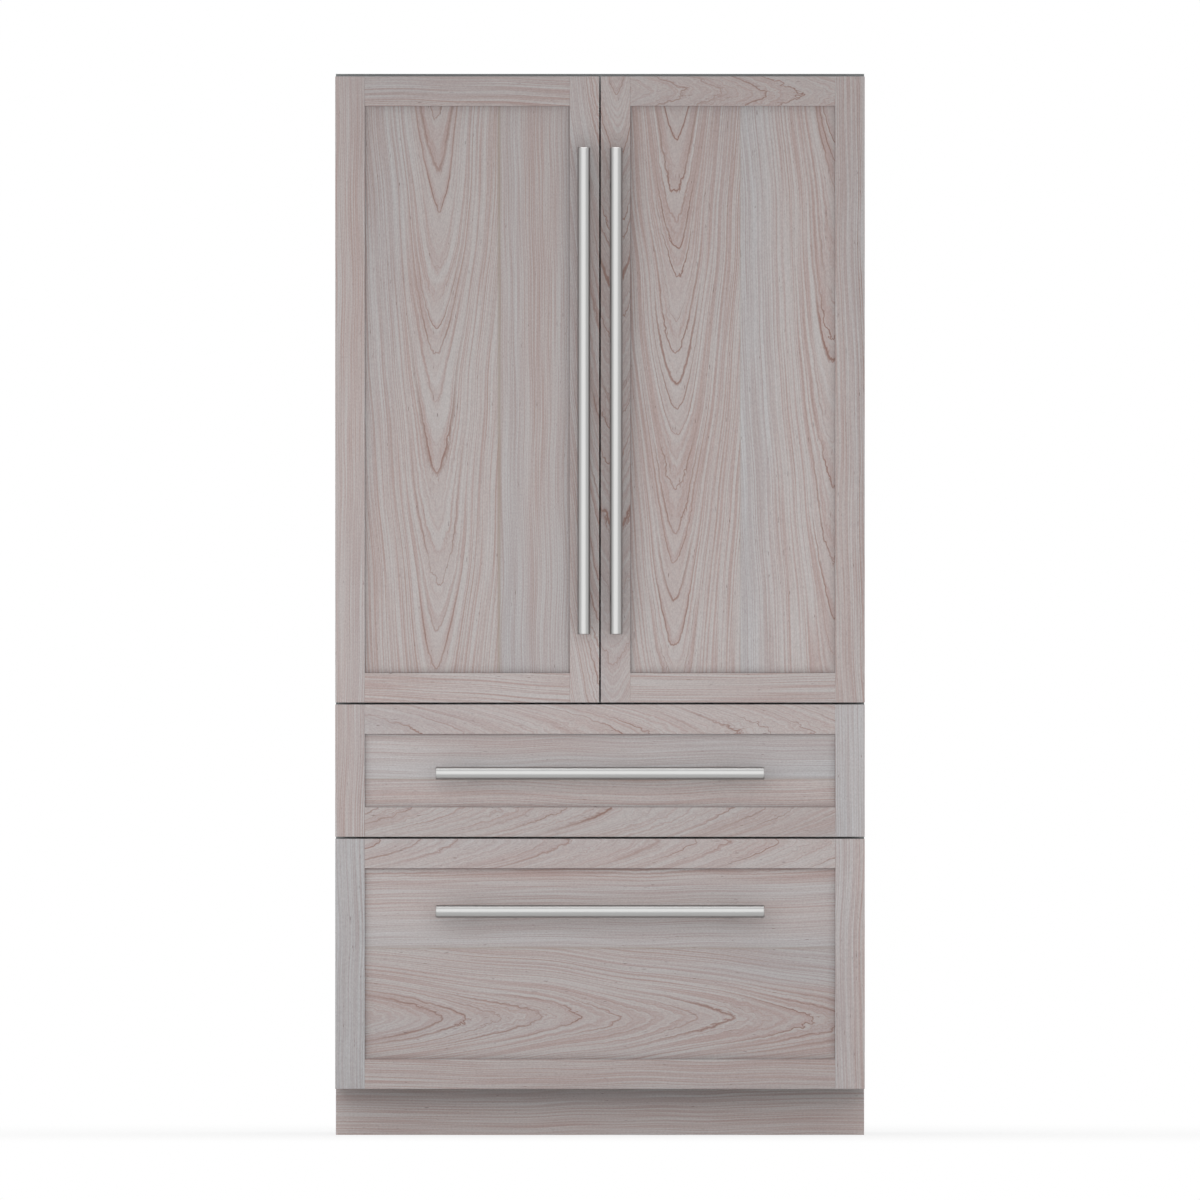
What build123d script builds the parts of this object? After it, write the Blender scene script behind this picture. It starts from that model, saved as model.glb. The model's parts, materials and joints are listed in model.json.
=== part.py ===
from build123d import *

import os
from typing import NamedTuple

# Built-in french door refrigerator: two doors over two drawers, clad in framed timber fronts.
# Millimetres. +Z is up, the fronts face -Y, and X runs along the width. The origin lies on the
# floor, midway across the width and midway between the handle bars and the rear sheet.

# Fronts, as read from the photograph at a front width of 41 3/4 inches
front_width = 1060.5
overall_height = 2127.0
toe_height = 93.0
lower_front_height = 501.0
middle_front_height = 265.0
drawer_reveal = 4.0
door_reveal = 3.2
top_reveal = 6.0

# Timber frame and flat centre panel of each front
front_thickness = 19.0
member_width = 59.0
panel_recess = 9.5
panel_thickness = 6.4
groove_depth = 10.0
groove_play = 0.1
panel_end_play = 0.6
edge_ease = 0.5

# Bar handles
handle_radius = 12.7
handle_standoff = 44.3
handle_end_ease = 1.2
post_radius = 8.0
post_end_distance = 75.0
post_saddle_play = 0.05
door_handle_length = 975.0
drawer_handle_length = 658.0
door_handle_drop = 3.0
door_handle_shift = 1.2
middle_handle_drop = 137.5
lower_handle_drop = 145.0

# Insulated body of each front, behind the timber
core_depth = 60.0
core_inset = 2.0
core_reveal = 8.0
pan_wall = 1.0
plate_thickness = 2.0
plate_play = 0.1
gasket_depth = 12.0
gasket_width = 16.0
gasket_lip_depth = 3.0
gasket_bulb_inset = 3.0
gasket_edge_distance = 4.0
gasket_play = 0.3

# Case
case_side_setback = 0.75
case_depth = 545.0
sheet = 1.0
liner_wall = 1.5
foam_play = 0.1
side_foam = 43.0
top_foam = 59.0
rear_foam = 55.0
floor_foam = 40.0
divider_height = 60.0
machine_depth = 215.5
machine_top = 235.0
hump_foam = 40.0

# Door hinges: a bracket with its pin at the top and the bottom of each door
pivot_inset = 17.75
pivot_depth = 30.5
pin_radius = 6.0
pin_play = 0.08
pin_length = 24.0
pin_end_play = 1.0
bush_wall = 4.0
bush_floor = 4.0
bracket_gap = 3.0
bracket_thickness = 4.0
bracket_half_width = 17.0
bracket_flange = 3.0
bracket_flange_drop = 3.0
collar_radius = 10.0
collar_play = 0.3
seal_pivot_gap = 2.5

# Flipper between the doors, shown folded back along the left door's free edge
flipper_width = 68.0
flipper_thickness = 18.0
flipper_axis_distance = 32.4
flipper_end_gap = 16.0
flipper_play = 0.8
flipper_pin_radius = 3.0
flipper_pin_length = 5.6
flipper_lug = 6.0
flipper_lug_half = 9.0
flipper_edge_round = 3.0
flipper_lug_play = 0.3

# Rack on each door's inner face and the bins in it
rack_pivot_distance = 50.0
rack_free_distance = 75.0
rack_depth = 58.0
rack_rib = 16.0
rack_rib_round = 4.0
rack_ledge = 6.0
rack_ledge_height = 8.0
rack_ledge_depth = 46.0
rack_above_floor = 235.0
rack_below_ceiling = 32.0
bin_count = 3
bin_depth = 108.0
bin_height = 105.0
bin_wall = 2.5
bin_play = 0.4
bin_first_rise = 18.0
bin_last_drop = 294.0
bin_corner = 14.0

# Shelves
shelf_rows = 3
shelf_above_crispers = 236.0
shelf_below_ceiling = 234.0
shelf_front_setback = 120.0
shelf_side_play = 10.0
shelf_gap = 8.0
glass_thickness = 4.0
arm_thickness = 3.0
arm_rear_height = 32.0
arm_nose_height = 12.0
arm_edge_distance = 8.0
glass_rear_gap = 2.0
track_end_gap = 10.0
trim_depth = 6.0
trim_height = 14.0
track_width = 16.0
track_thickness = 3.0
track_slot_width = 5.0
track_slot_height = 14.0
track_slot_count = 18

# Crispers
crisper_height = 168.0
crisper_depth = 368.0
crisper_setback = 90.0
crisper_frame_setback = 8.0
crisper_frame_wall = 3.0
crisper_wall = 2.5
crisper_floor_gap = 9.0
crisper_lip = 6.0
crisper_lip_thickness = 3.0
crisper_ledge_height = 6.0
crisper_corner = 16.0
crisper_side_play = 2.0
crisper_running_play = 0.4
crisper_ledge_lap = 5.0
crisper_support_half = 44.0
crisper_side_support = 40.0
crisper_lid_thickness = 8.0
crisper_lid_gap = 14.0
crisper_pull_width = 180.0
crisper_pull_depth = 12.0
crisper_pull_height = 22.0

# Drawers on three-part runners
runner_height = 46.0
runner_web = 1.5
runner_fixed_depth = 14.0
runner_play = 0.4
runner_mid_gap = 2.5
runner_mid_depth = 14.0
runner_inner_depth = 14.0
runner_front_gap = 10.0
runner_rear_gap = 34.0
middle_runner_rise = 94.0
lower_runner_rise = 357.0
basket_wall = 2.5
basket_floor_gap = 8.0
basket_corner = 20.0
middle_basket_height = 165.0
middle_basket_rear_gap = 26.0
lower_basket_height = 360.0
lower_basket_hump_gap = 8.0

# Cooling: cold coil, cover and fan in the lower compartment; compressor and warm coil in the base
cover_side_gap = 46.0
cover_depth = 76.0
cover_wall = 2.0
cover_gap = 3.0
cold_coil_side_gap = 58.0
cold_coil_depth = 52.0
cold_coil_height = 150.0
coil_fin = 0.8
coil_fin_count = 24
coil_tube_radius = 4.0
coil_tube_pitch = 25.0
coil_end_plate = 2.0
cold_fan_radius = 48.0
cold_fan_rise = 222.0
fan_hub_radius = 14.0
fan_hub_length = 16.0
fan_blade_count = 5
fan_blade_thickness = 2.0
fan_blade_chord = 28.0
fan_blade_root = 4.0
fan_blade_pitch = 32.0
fan_tip_play = 4.0
fan_shaft_radius = 3.0
fan_shaft_play = 0.08
motor_radius = 20.0
motor_length = 16.0
motor_gap = 1.5
spoke_half_width = 3.0
spoke_depth = 4.0
return_slot_rise = 30.0
return_slot_pitch = 120.0
return_slot_count = 6
return_slot_length = 80.0
return_slot_height = 8.0
warm_fan_radius = 74.0
shroud_half_width = 92.0
shroud_depth = 24.0
shroud_corner = 8.0
shroud_x = 40.0
warm_coil_length = 330.0
warm_coil_depth = 150.0
warm_coil_height = 170.0
warm_coil_gap = 30.0
compressor_side_distance = 229.5
compressor_radius = 86.0
compressor_height = 150.0
compressor_foot_radius = 13.0
compressor_foot_height = 16.0
compressor_foot_spread = 76.0
compressor_plate = 3.0
compressor_dome_round = 40.0
compressor_band_rise = 60.0
compressor_band_height = 12.0
compressor_band_proud = 2.0

# Base
skirt_thickness = 2.0
skirt_low = 20.0
base_pan_thickness = 3.0
foot_box_length = 80.0
foot_box_depth = 40.0
foot_box_height = 40.0
foot_radius = 20.0
foot_pad_height = 8.0
foot_pad_ease = 1.5
foot_stem_radius = 6.0
foot_stem_play = 0.05
foot_stem_reach = 12.0
foot_nut_half = 9.0
foot_nut_height = 5.0
foot_side_distance = 60.0
foot_edge_distance = 48.0
vent_slot_length = 120.0
vent_slot_height = 6.0
vent_pitch = 18.0
vent_rows = 6
vent_columns = 5
vent_column_pitch = 160.0

# Recessed power inlet in the rear sheet
inlet_side_distance = 99.5
inlet_z = 190.0
inlet_width = 32.0
inlet_height = 26.0
inlet_depth = 20.0
inlet_wall = 2.5
inlet_pin_width = 1.6
inlet_pin_height = 5.0
inlet_pin_pitch = 7.0
inlet_pin_count = 3
inlet_pin_setback = 6.0

# Anti-tip screw holes in the top sheet
anti_tip_spacing = 700.0
anti_tip_radius = 2.5
anti_tip_depth = 25.0
anti_tip_rear_distance = 60.0

# Controls and lamp under the ceiling of the upper compartment
control_half_width = 160.0
control_depth = 110.0
control_height = 24.0
control_setback = 70.0
control_corner = 8.0
control_edge_round = 3.0
lamp_half_width = 130.0
lamp_depth = 50.0
lamp_height = 6.0
lamp_setback = 24.0
lamp_edge_round = 2.0

# Planes across the depth
overall_depth = (
    handle_radius + handle_standoff + front_thickness + core_depth + gasket_depth + case_depth
)
rear_y = overall_depth / 2
case_front_y = rear_y - case_depth
core_rear_y = case_front_y - gasket_depth
core_front_y = core_rear_y - core_depth
face_y = core_front_y - front_thickness
bar_y = face_y - handle_standoff
plate_front_y = core_rear_y - plate_thickness
panel_front_y = face_y + panel_recess
panel_rear_y = panel_front_y + panel_thickness
foam_rear_y = rear_y - sheet
liner_rear_y = foam_rear_y - rear_foam
inside_rear_y = liner_rear_y - liner_wall
machine_front_y = foam_rear_y - machine_depth
hump_front_y = machine_front_y - hump_foam
pivot_y = core_front_y + pivot_depth
toe_rear_y = case_front_y + front_thickness

# Planes across the width
case_half = front_width / 2 - case_side_setback
foam_half = case_half - sheet
liner_half = foam_half - side_foam
inside_half = liner_half - liner_wall
pivot_x = front_width / 2 - pivot_inset
seal_outer_x = pivot_x - seal_pivot_gap
cover_half_width = inside_half - cover_side_gap
cold_coil_half_width = cover_half_width - cold_coil_side_gap
compressor_x = compressor_side_distance - case_half
inlet_x = case_half - inlet_side_distance

# Levels
lower_front_top = toe_height + lower_front_height
middle_front_low = lower_front_top + drawer_reveal
middle_front_top = middle_front_low + middle_front_height
door_low = middle_front_top + drawer_reveal
door_top = overall_height - top_reveal
floor_top = toe_height + floor_foam
lower_divider_mid = lower_front_top + drawer_reveal / 2
upper_divider_mid = middle_front_top + drawer_reveal / 2
lower_divider = (lower_divider_mid - divider_height / 2, lower_divider_mid + divider_height / 2)
upper_divider = (upper_divider_mid - divider_height / 2, upper_divider_mid + divider_height / 2)
foam_top = overall_height - sheet
ceiling = foam_top - top_foam
hump_top = machine_top + hump_foam
base_top = skirt_low + base_pan_thickness

# Compartments: the limits up of each liner outside and inside
fridge_outer = (upper_divider[1], ceiling)
middle_outer = (lower_divider[1], upper_divider[0])
lower_outer = (floor_top, lower_divider[0])
fridge_floor = fridge_outer[0] + liner_wall
fridge_ceiling = fridge_outer[1] - liner_wall
middle_inside = (middle_outer[0] + liner_wall, middle_outer[1] - liner_wall)
lower_inside = (lower_outer[0] + liner_wall, lower_outer[1] - liner_wall)
compartments = (
    (fridge_outer, (fridge_floor, fridge_ceiling)),
    (middle_outer, middle_inside),
    (lower_outer, lower_inside),
)
hump_inside = hump_top + liner_wall

# Places worked out for the moving pieces and what is inside
flipper_axis_x = -door_reveal / 2 - flipper_axis_distance
flipper_axis_y = case_front_y + flipper_play + flipper_thickness / 2
flipper_z = (fridge_floor + flipper_end_gap, fridge_ceiling - flipper_end_gap)
shelf_front_y = case_front_y + shelf_front_setback
crisper_front_y = case_front_y + crisper_setback
crisper_low = fridge_floor + crisper_floor_gap
crisper_stack_height = (
    crisper_floor_gap + crisper_height + crisper_lid_gap + crisper_lid_thickness
)
runner_y = (case_front_y + runner_front_gap, inside_rear_y - runner_rear_gap)
middle_basket_rear = inside_rear_y - middle_basket_rear_gap
lower_basket_rear = hump_front_y - liner_wall - lower_basket_hump_gap
cover_front_y = inside_rear_y - cover_depth
machine_middle_y = (machine_front_y + sheet + foam_rear_y) / 2
foot_rows = (toe_rear_y + foot_edge_distance, foam_rear_y - foot_edge_distance)
foot_places = [(side * (case_half - foot_side_distance), y) for side in (-1, 1) for y in foot_rows]
warm_fan_x = shroud_x - shroud_depth / 2 + spoke_depth + motor_gap
warm_fan_plane = Plane(
    (warm_fan_x, machine_middle_y, base_top + shroud_half_width), x_dir=(0, 1, 0), z_dir=(1, 0, 0)
)
cold_fan_y = cover_front_y + cover_wall + motor_length + motor_gap
cold_fan_plane = Plane(
    (0, cold_fan_y, hump_inside + cold_fan_rise), x_dir=(1, 0, 0), z_dir=(0, 1, 0)
)


class Front(NamedTuple):
    """A timber-clad door or drawer front: its name and its limits across and up."""

    name: str
    x: tuple
    z: tuple


left_door = Front("left_door", (-front_width / 2, -door_reveal / 2), (door_low, door_top))
right_door = Front("right_door", (door_reveal / 2, front_width / 2), (door_low, door_top))
middle_drawer = Front(
    "middle_drawer", (-front_width / 2, front_width / 2), (middle_front_low, middle_front_top)
)
lower_drawer = Front(
    "lower_drawer", (-front_width / 2, front_width / 2), (toe_height, lower_front_top)
)
fronts = (left_door, right_door, middle_drawer, lower_drawer)
doors = (left_door, right_door)
runner_levels = {
    middle_drawer: middle_inside[0] + middle_runner_rise,
    lower_drawer: lower_inside[0] + lower_runner_rise,
}


def slab(x, y, z, mode=Mode.ADD):
    """A box between two limits on each axis, in the part being built."""
    with Locations(((x[0] + x[1]) / 2, (y[0] + y[1]) / 2, (z[0] + z[1]) / 2)):
        Box(x[1] - x[0], y[1] - y[0], z[1] - z[0], mode=mode)


def grown(limits, amount):
    """Limits moved outward by an amount at both ends, or inward where it is negative."""
    return (limits[0] - amount, limits[1] + amount)


def evenly(first, last, count):
    """Levels from the first to the last at an even pitch."""
    return [first + (last - first) * step / (count - 1) for step in range(count)]


def mirrored(limits, side):
    """Limits on the +X side, or their mirror image where side is -1."""
    return tuple(sorted((side * limits[0], side * limits[1])))


def save(builder, name):
    """Labels a finished part and writes it under its name."""
    builder.part.label = name
    export_step(builder.part, f"parts/{name}.step")


def side_of(front):
    """-1 for the left door and 1 for the right one."""
    return 1 if front.x[0] > 0 else -1


def core_limits(front):
    """The limits of the insulated body behind a front."""
    return grown(front.x, -core_inset), grown(front.z, -core_reveal)


# Timber fronts


def make_stiles(front):
    """The two uprights of a frame, each grooved along its inner edge."""
    groove_y = (panel_front_y + panel_rear_y) / 2
    with BuildPart() as stiles:
        for outer_x, inward in ((front.x[0], 1), (front.x[1], -1)):
            with BuildSketch(Plane.XY.offset(front.z[0])):
                with Locations((outer_x + inward * member_width / 2, face_y + front_thickness / 2)):
                    Rectangle(member_width, front_thickness)
                with Locations((outer_x + inward * (member_width - groove_depth / 2), groove_y)):
                    Rectangle(groove_depth, panel_thickness + 2 * groove_play, mode=Mode.SUBTRACT)
            extrude(amount=front.z[1] - front.z[0])
        chamfer(stiles.faces().filter_by(Axis.Y).group_by(Axis.Y)[0].edges(), edge_ease)
    save(stiles, f"{front.name}_stiles")


def make_rails(front):
    """The two cross members, grooved as the stiles are, with a tongue at each end."""
    between = grown(front.x, -member_width)
    groove_y = (panel_front_y + panel_rear_y) / 2
    with BuildPart() as rails:
        for outer_z, inward in ((front.z[0], 1), (front.z[1], -1)):
            with BuildSketch(Plane.YZ.offset(between[0])):
                with Locations((face_y + front_thickness / 2, outer_z + inward * member_width / 2)):
                    Rectangle(front_thickness, member_width)
                with Locations((groove_y, outer_z + inward * (member_width - groove_depth / 2))):
                    Rectangle(panel_thickness + 2 * groove_play, groove_depth, mode=Mode.SUBTRACT)
            extrude(amount=between[1] - between[0])
        chamfer(rails.faces().filter_by(Axis.Y).group_by(Axis.Y)[0].edges(), edge_ease)
        for outer_z, inward in ((front.z[0], 1), (front.z[1], -1)):
            tongue_z = sorted((outer_z, outer_z + inward * (member_width - groove_depth)))
            for end_x, outward in ((between[0], -1), (between[1], 1)):
                reach = outward * (groove_depth - panel_end_play)
                slab(sorted((end_x, end_x + reach)), (panel_front_y, panel_rear_y), tongue_z)
    save(rails, f"{front.name}_rails")


def make_centre_panel(front):
    """The flat panel, floating in the grooves of the frame."""
    reach = groove_depth - panel_end_play - member_width
    with BuildPart() as panel:
        slab(grown(front.x, reach), (panel_front_y, panel_rear_y), grown(front.z, reach))
    save(panel, f"{front.name}_centre_panel")


def make_handle(centre, upright, length, seat_y):
    """A round bar on two posts, which stand on the surface at seat_y."""
    plane = Plane.XY if upright else Plane.YZ
    middle = (centre[0], bar_y, centre[1])
    with BuildPart() as handle:
        with BuildSketch(Plane(middle, x_dir=plane.x_dir, z_dir=plane.z_dir)):
            Circle(handle_radius)
        extrude(amount=length / 2, both=True)
        chamfer(handle.edges().filter_by(GeomType.CIRCLE), handle_end_ease)
        for end in (-1, 1):
            shift = end * (length / 2 - post_end_distance)
            x = middle[0] + (0 if upright else shift)
            z = middle[2] + (shift if upright else 0)
            with BuildSketch(Plane((x, bar_y, z), x_dir=(1, 0, 0), z_dir=(0, 1, 0))) as root:
                Circle(post_radius)
            saddle = Location(middle) * Cylinder(
                handle_radius + post_saddle_play,
                length,
                rotation=(0, 0, 0) if upright else (0, 90, 0),
                mode=Mode.PRIVATE,
            )
            post = extrude(root.sketch, amount=seat_y - bar_y, mode=Mode.PRIVATE) - saddle
            add(post)
    return handle


def make_door_handle(door):
    """The upright bar, midway up the door over its free stile."""
    free_x = door.x[0] if side_of(door) > 0 else door.x[1]
    shift = side_of(door) * (member_width / 2 + door_handle_shift)
    centre = (free_x + shift, (door.z[0] + door.z[1]) / 2 - door_handle_drop)
    handle = make_handle(centre, True, door_handle_length, face_y)
    save(handle, f"{door.name}_handle")


def make_drawer_handle(drawer, drop):
    """The level bar, whose posts stand on the recessed centre panel."""
    centre = (0, drawer.z[1] - drop)
    handle = make_handle(centre, False, drawer_handle_length, panel_front_y)
    save(handle, f"{drawer.name}_handle")


# Insulated bodies of the fronts


def make_pan(front):
    """The steel shell behind the timber, open at the back, with a bush for each hinge pin."""
    x, z = core_limits(front)
    bush_places = [(side_of(front) * pivot_x, pivot_y)] if front in doors else []
    with BuildPart() as pan:
        slab(x, (core_front_y, core_rear_y), z)
        hollow = (core_front_y + pan_wall, core_rear_y)
        slab(grown(x, -pan_wall), hollow, grown(z, -pan_wall), Mode.SUBTRACT)
        for place in bush_places:
            for edge, inward in ((z[0], 1), (z[1], -1)):
                with BuildSketch(Plane.XY.offset(edge)):
                    with Locations(place):
                        Circle(pin_radius + bush_wall)
                extrude(amount=inward * (pin_length + bush_floor))
                with BuildSketch(Plane.XY.offset(edge)):
                    with Locations(place):
                        Circle(pin_radius + pin_play)
                extrude(amount=inward * (pin_length + pin_end_play), mode=Mode.SUBTRACT)
        if front not in doors:
            back = grown(x, -pan_wall - plate_play)
            slab(back, (plate_front_y, core_rear_y), grown(z, -pan_wall - plate_play))
    save(pan, f"{front.name}_pan")


def gasket_limits(front):
    """The outer edges of a gasket across and up."""
    x, z = core_limits(front)
    x = list(grown(x, -gasket_edge_distance))
    if front in doors:
        outer = 1 if side_of(front) > 0 else 0
        x[outer] = side_of(front) * seal_outer_x
    return tuple(x), grown(z, -gasket_edge_distance)


def make_gasket(front):
    """A closed loop of seal: a flat lip on the inner face, then the narrower bulb."""
    x, z = gasket_limits(front)
    lip = (core_rear_y, core_rear_y + gasket_lip_depth)
    bulb = (lip[1], case_front_y - gasket_play)
    with BuildPart() as gasket:
        slab(x, lip, z)
        slab(grown(x, -gasket_width), lip, grown(z, -gasket_width), Mode.SUBTRACT)
        slab(grown(x, -gasket_bulb_inset), bulb, grown(z, -gasket_bulb_inset))
        bulb_inner = gasket_bulb_inset - gasket_width
        slab(grown(x, bulb_inner), bulb, grown(z, bulb_inner), Mode.SUBTRACT)
    save(gasket, f"{front.name}_gasket")


# Door liner with its rack, and the bins in the rack


def rack_limits(door):
    """The outer sides of a door's rack, and its lower and upper ends."""
    outer = pivot_x - rack_pivot_distance
    x = mirrored((rack_free_distance, outer), side_of(door))
    z = (fridge_floor + rack_above_floor, fridge_ceiling - rack_below_ceiling)
    return x, z


def bin_levels():
    """The undersides of the bins in one door."""
    low = fridge_floor + rack_above_floor + bin_first_rise
    high = fridge_ceiling - rack_below_ceiling - bin_last_drop
    return evenly(low, high, bin_count)


def make_door_liner(door):
    """The plate that closes the pan, with a rib each side of the bins and ledges under them."""
    x, z = core_limits(door)
    rack_x, rack_z = rack_limits(door)
    x = grown(x, -pan_wall - plate_play)
    z = grown(z, -pan_wall - plate_play)
    rib_y = (core_rear_y, core_rear_y + rack_depth)
    ledge_y = (core_rear_y, core_rear_y + rack_ledge_depth)
    with BuildPart() as liner:
        slab(x, (plate_front_y, core_rear_y), z)
        for rib_x in ((rack_x[0], rack_x[0] + rack_rib), (rack_x[1] - rack_rib, rack_x[1])):
            slab(rib_x, rib_y, rack_z)
        ribs = liner.edges().filter_by(Axis.Z).group_by(Axis.Y)[-1]
        fillet(ribs, rack_rib_round)
        inner = grown(rack_x, -rack_rib)
        for level in bin_levels():
            ledge_z = (level - rack_ledge_height, level)
            slab((inner[0], inner[0] + rack_ledge), ledge_y, ledge_z)
            slab((inner[1] - rack_ledge, inner[1]), ledge_y, ledge_z)
        if door is left_door:
            for low, high in flipper_lug_levels():
                lug_y = (core_rear_y, flipper_axis_y)
                slab(grown((flipper_axis_x, flipper_axis_x), flipper_lug_half), lug_y, (low, high))
                with BuildSketch(Plane.XY.offset(low)):
                    with Locations((flipper_axis_x, flipper_axis_y)):
                        Circle(flipper_lug_half)
                extrude(amount=high - low)
                with BuildSketch(Plane.XY.offset(low)):
                    with Locations((flipper_axis_x, flipper_axis_y)):
                        Circle(flipper_pin_radius + pin_play)
                extrude(amount=high - low, mode=Mode.SUBTRACT)
    save(liner, f"{door.name}_liner")


def make_bins(door):
    """The open trays between the ribs, each on a pair of ledges."""
    rack_x, _ = rack_limits(door)
    x = grown(rack_x, -rack_rib - bin_play)
    y = (core_rear_y + bin_play, core_rear_y + bin_depth)
    with BuildPart() as bins:
        for level in bin_levels():
            with BuildSketch(Plane.XY.offset(level)):
                with Locations(((x[0] + x[1]) / 2, (y[0] + y[1]) / 2)):
                    RectangleRounded(x[1] - x[0], y[1] - y[0], bin_corner)
            extrude(amount=bin_height)
            with BuildSketch(Plane.XY.offset(level + bin_wall)):
                with Locations(((x[0] + x[1]) / 2, (y[0] + y[1]) / 2)):
                    RectangleRounded(
                        x[1] - x[0] - 2 * bin_wall, y[1] - y[0] - 2 * bin_wall, bin_corner - bin_wall
                    )
            extrude(amount=bin_height, mode=Mode.SUBTRACT)
    save(bins, f"{door.name}_bins")


# Flipper that backs the gap between the doors


def flipper_lug_levels():
    """The lower and upper faces of the two lugs that carry the flipper."""
    low, high = flipper_z
    return (
        (low - flipper_lug_play - flipper_lug, low - flipper_lug_play),
        (high + flipper_lug_play, high + flipper_lug_play + flipper_lug),
    )


def make_flipper():
    """A thin box on two pins, folded back towards the shelves."""
    y = (flipper_axis_y - flipper_thickness / 2, flipper_axis_y - flipper_thickness / 2 + flipper_width)
    x = grown((flipper_axis_x, flipper_axis_x), flipper_thickness / 2)
    with BuildPart() as flipper:
        slab(x, y, flipper_z)
        fillet(flipper.edges().filter_by(Axis.Z), flipper_edge_round)
        for end_z, outward in ((flipper_z[0], -1), (flipper_z[1], 1)):
            with BuildSketch(Plane.XY.offset(end_z)):
                with Locations((flipper_axis_x, flipper_axis_y)):
                    Circle(flipper_pin_radius)
            extrude(amount=outward * (flipper_lug_play + flipper_pin_length))
    save(flipper, "flipper")


# Door hinges


def hinge_edges():
    """For each hinge: its place across, the end of the door's body there, and the way out of it."""
    places = []
    for door in doors:
        _, z = core_limits(door)
        places.append((side_of(door) * pivot_x, z[0], -1))
        places.append((side_of(door) * pivot_x, z[1], 1))
    return places


def make_hinge_brackets():
    """Four angles on the case's front edge, each with a hole for its pin."""
    with BuildPart() as brackets:
        for x, edge, out in hinge_edges():
            near = edge + out * bracket_gap
            far = near + out * bracket_thickness
            half = grown((x, x), bracket_half_width)
            plate_z = sorted((near, far))
            with BuildSketch(Plane.XY.offset(plate_z[0])):
                with Locations((x, pivot_y)):
                    Circle(bracket_half_width)
            extrude(amount=bracket_thickness)
            slab(half, (pivot_y, case_front_y), plate_z)
            flange_z = sorted((edge - out * bracket_flange_drop, far))
            slab(half, (case_front_y - bracket_flange, case_front_y), flange_z)
            with BuildSketch(Plane.XY.offset(plate_z[0])):
                with Locations((x, pivot_y)):
                    Circle(pin_radius)
            extrude(amount=bracket_thickness, mode=Mode.SUBTRACT)
    save(brackets, "hinge_brackets")


def make_hinge_pins():
    """Four pins, each with a collar that the door turns against."""
    with BuildPart() as pins:
        for x, edge, out in hinge_edges():
            near = edge + out * bracket_gap
            with BuildSketch(Plane.XY.offset(near + out * bracket_thickness)):
                with Locations((x, pivot_y)):
                    Circle(pin_radius)
            extrude(amount=-out * (bracket_thickness + bracket_gap + pin_length))
            with BuildSketch(Plane.XY.offset(near)):
                with Locations((x, pivot_y)):
                    Circle(collar_radius)
            extrude(amount=-out * (bracket_gap - collar_play))
    save(pins, "hinge_pins")


# Case


def make_outer_wrapper():
    """One folded sheet: sides and top, and the underside that steps up over the machine space."""
    y = (case_front_y, foam_rear_y)
    with BuildPart() as wrapper:
        for side in (-1, 1):
            slab(mirrored((foam_half, case_half), side), y, (toe_height, overall_height))
        slab((-foam_half, foam_half), y, (foam_top, overall_height))
        low = (toe_height, toe_height + sheet)
        slab((-foam_half, foam_half), (case_front_y, machine_front_y + sheet), low)
        slab(
            (-foam_half, foam_half),
            (machine_front_y, machine_front_y + sheet),
            (toe_height, machine_top),
        )
        roof = (machine_top - sheet, machine_top)
        slab((-foam_half, foam_half), (machine_front_y, foam_rear_y), roof)
        with Locations((0, rear_y - anti_tip_rear_distance, overall_height)):
            with GridLocations(anti_tip_spacing, 0, 2, 1):
                Hole(anti_tip_radius, depth=sheet)
    save(wrapper, "outer_wrapper")


def make_rear_panel():
    """The flat rear sheet, slotted over the machine space, with the cup of the power inlet."""
    machine_middle = (base_top + machine_top) / 2
    with BuildPart() as panel:
        slab((-case_half, case_half), (foam_rear_y, rear_y), (skirt_low, overall_height))
        with BuildSketch(Plane.XZ.offset(-foam_rear_y)):
            with Locations((0, machine_middle)):
                with GridLocations(vent_column_pitch, vent_pitch, vent_columns, vent_rows):
                    SlotOverall(vent_slot_length, vent_slot_height)
        extrude(amount=-sheet, mode=Mode.SUBTRACT)
        cup_x = grown((inlet_x, inlet_x), inlet_width / 2)
        cup_z = grown((inlet_z, inlet_z), inlet_height / 2)
        slab(cup_x, (rear_y - inlet_depth, rear_y), cup_z)
        cup_floor = rear_y - inlet_depth + inlet_wall
        slab(grown(cup_x, -inlet_wall), (cup_floor, rear_y), grown(cup_z, -inlet_wall), Mode.SUBTRACT)
        with BuildSketch(Plane.XZ.offset(-cup_floor)):
            with Locations((inlet_x, inlet_z)):
                with GridLocations(inlet_pin_pitch, 0, inlet_pin_count, 1):
                    Rectangle(inlet_pin_width, inlet_pin_height)
        extrude(amount=cup_floor - rear_y + inlet_pin_setback)
    save(panel, "rear_panel")


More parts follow.
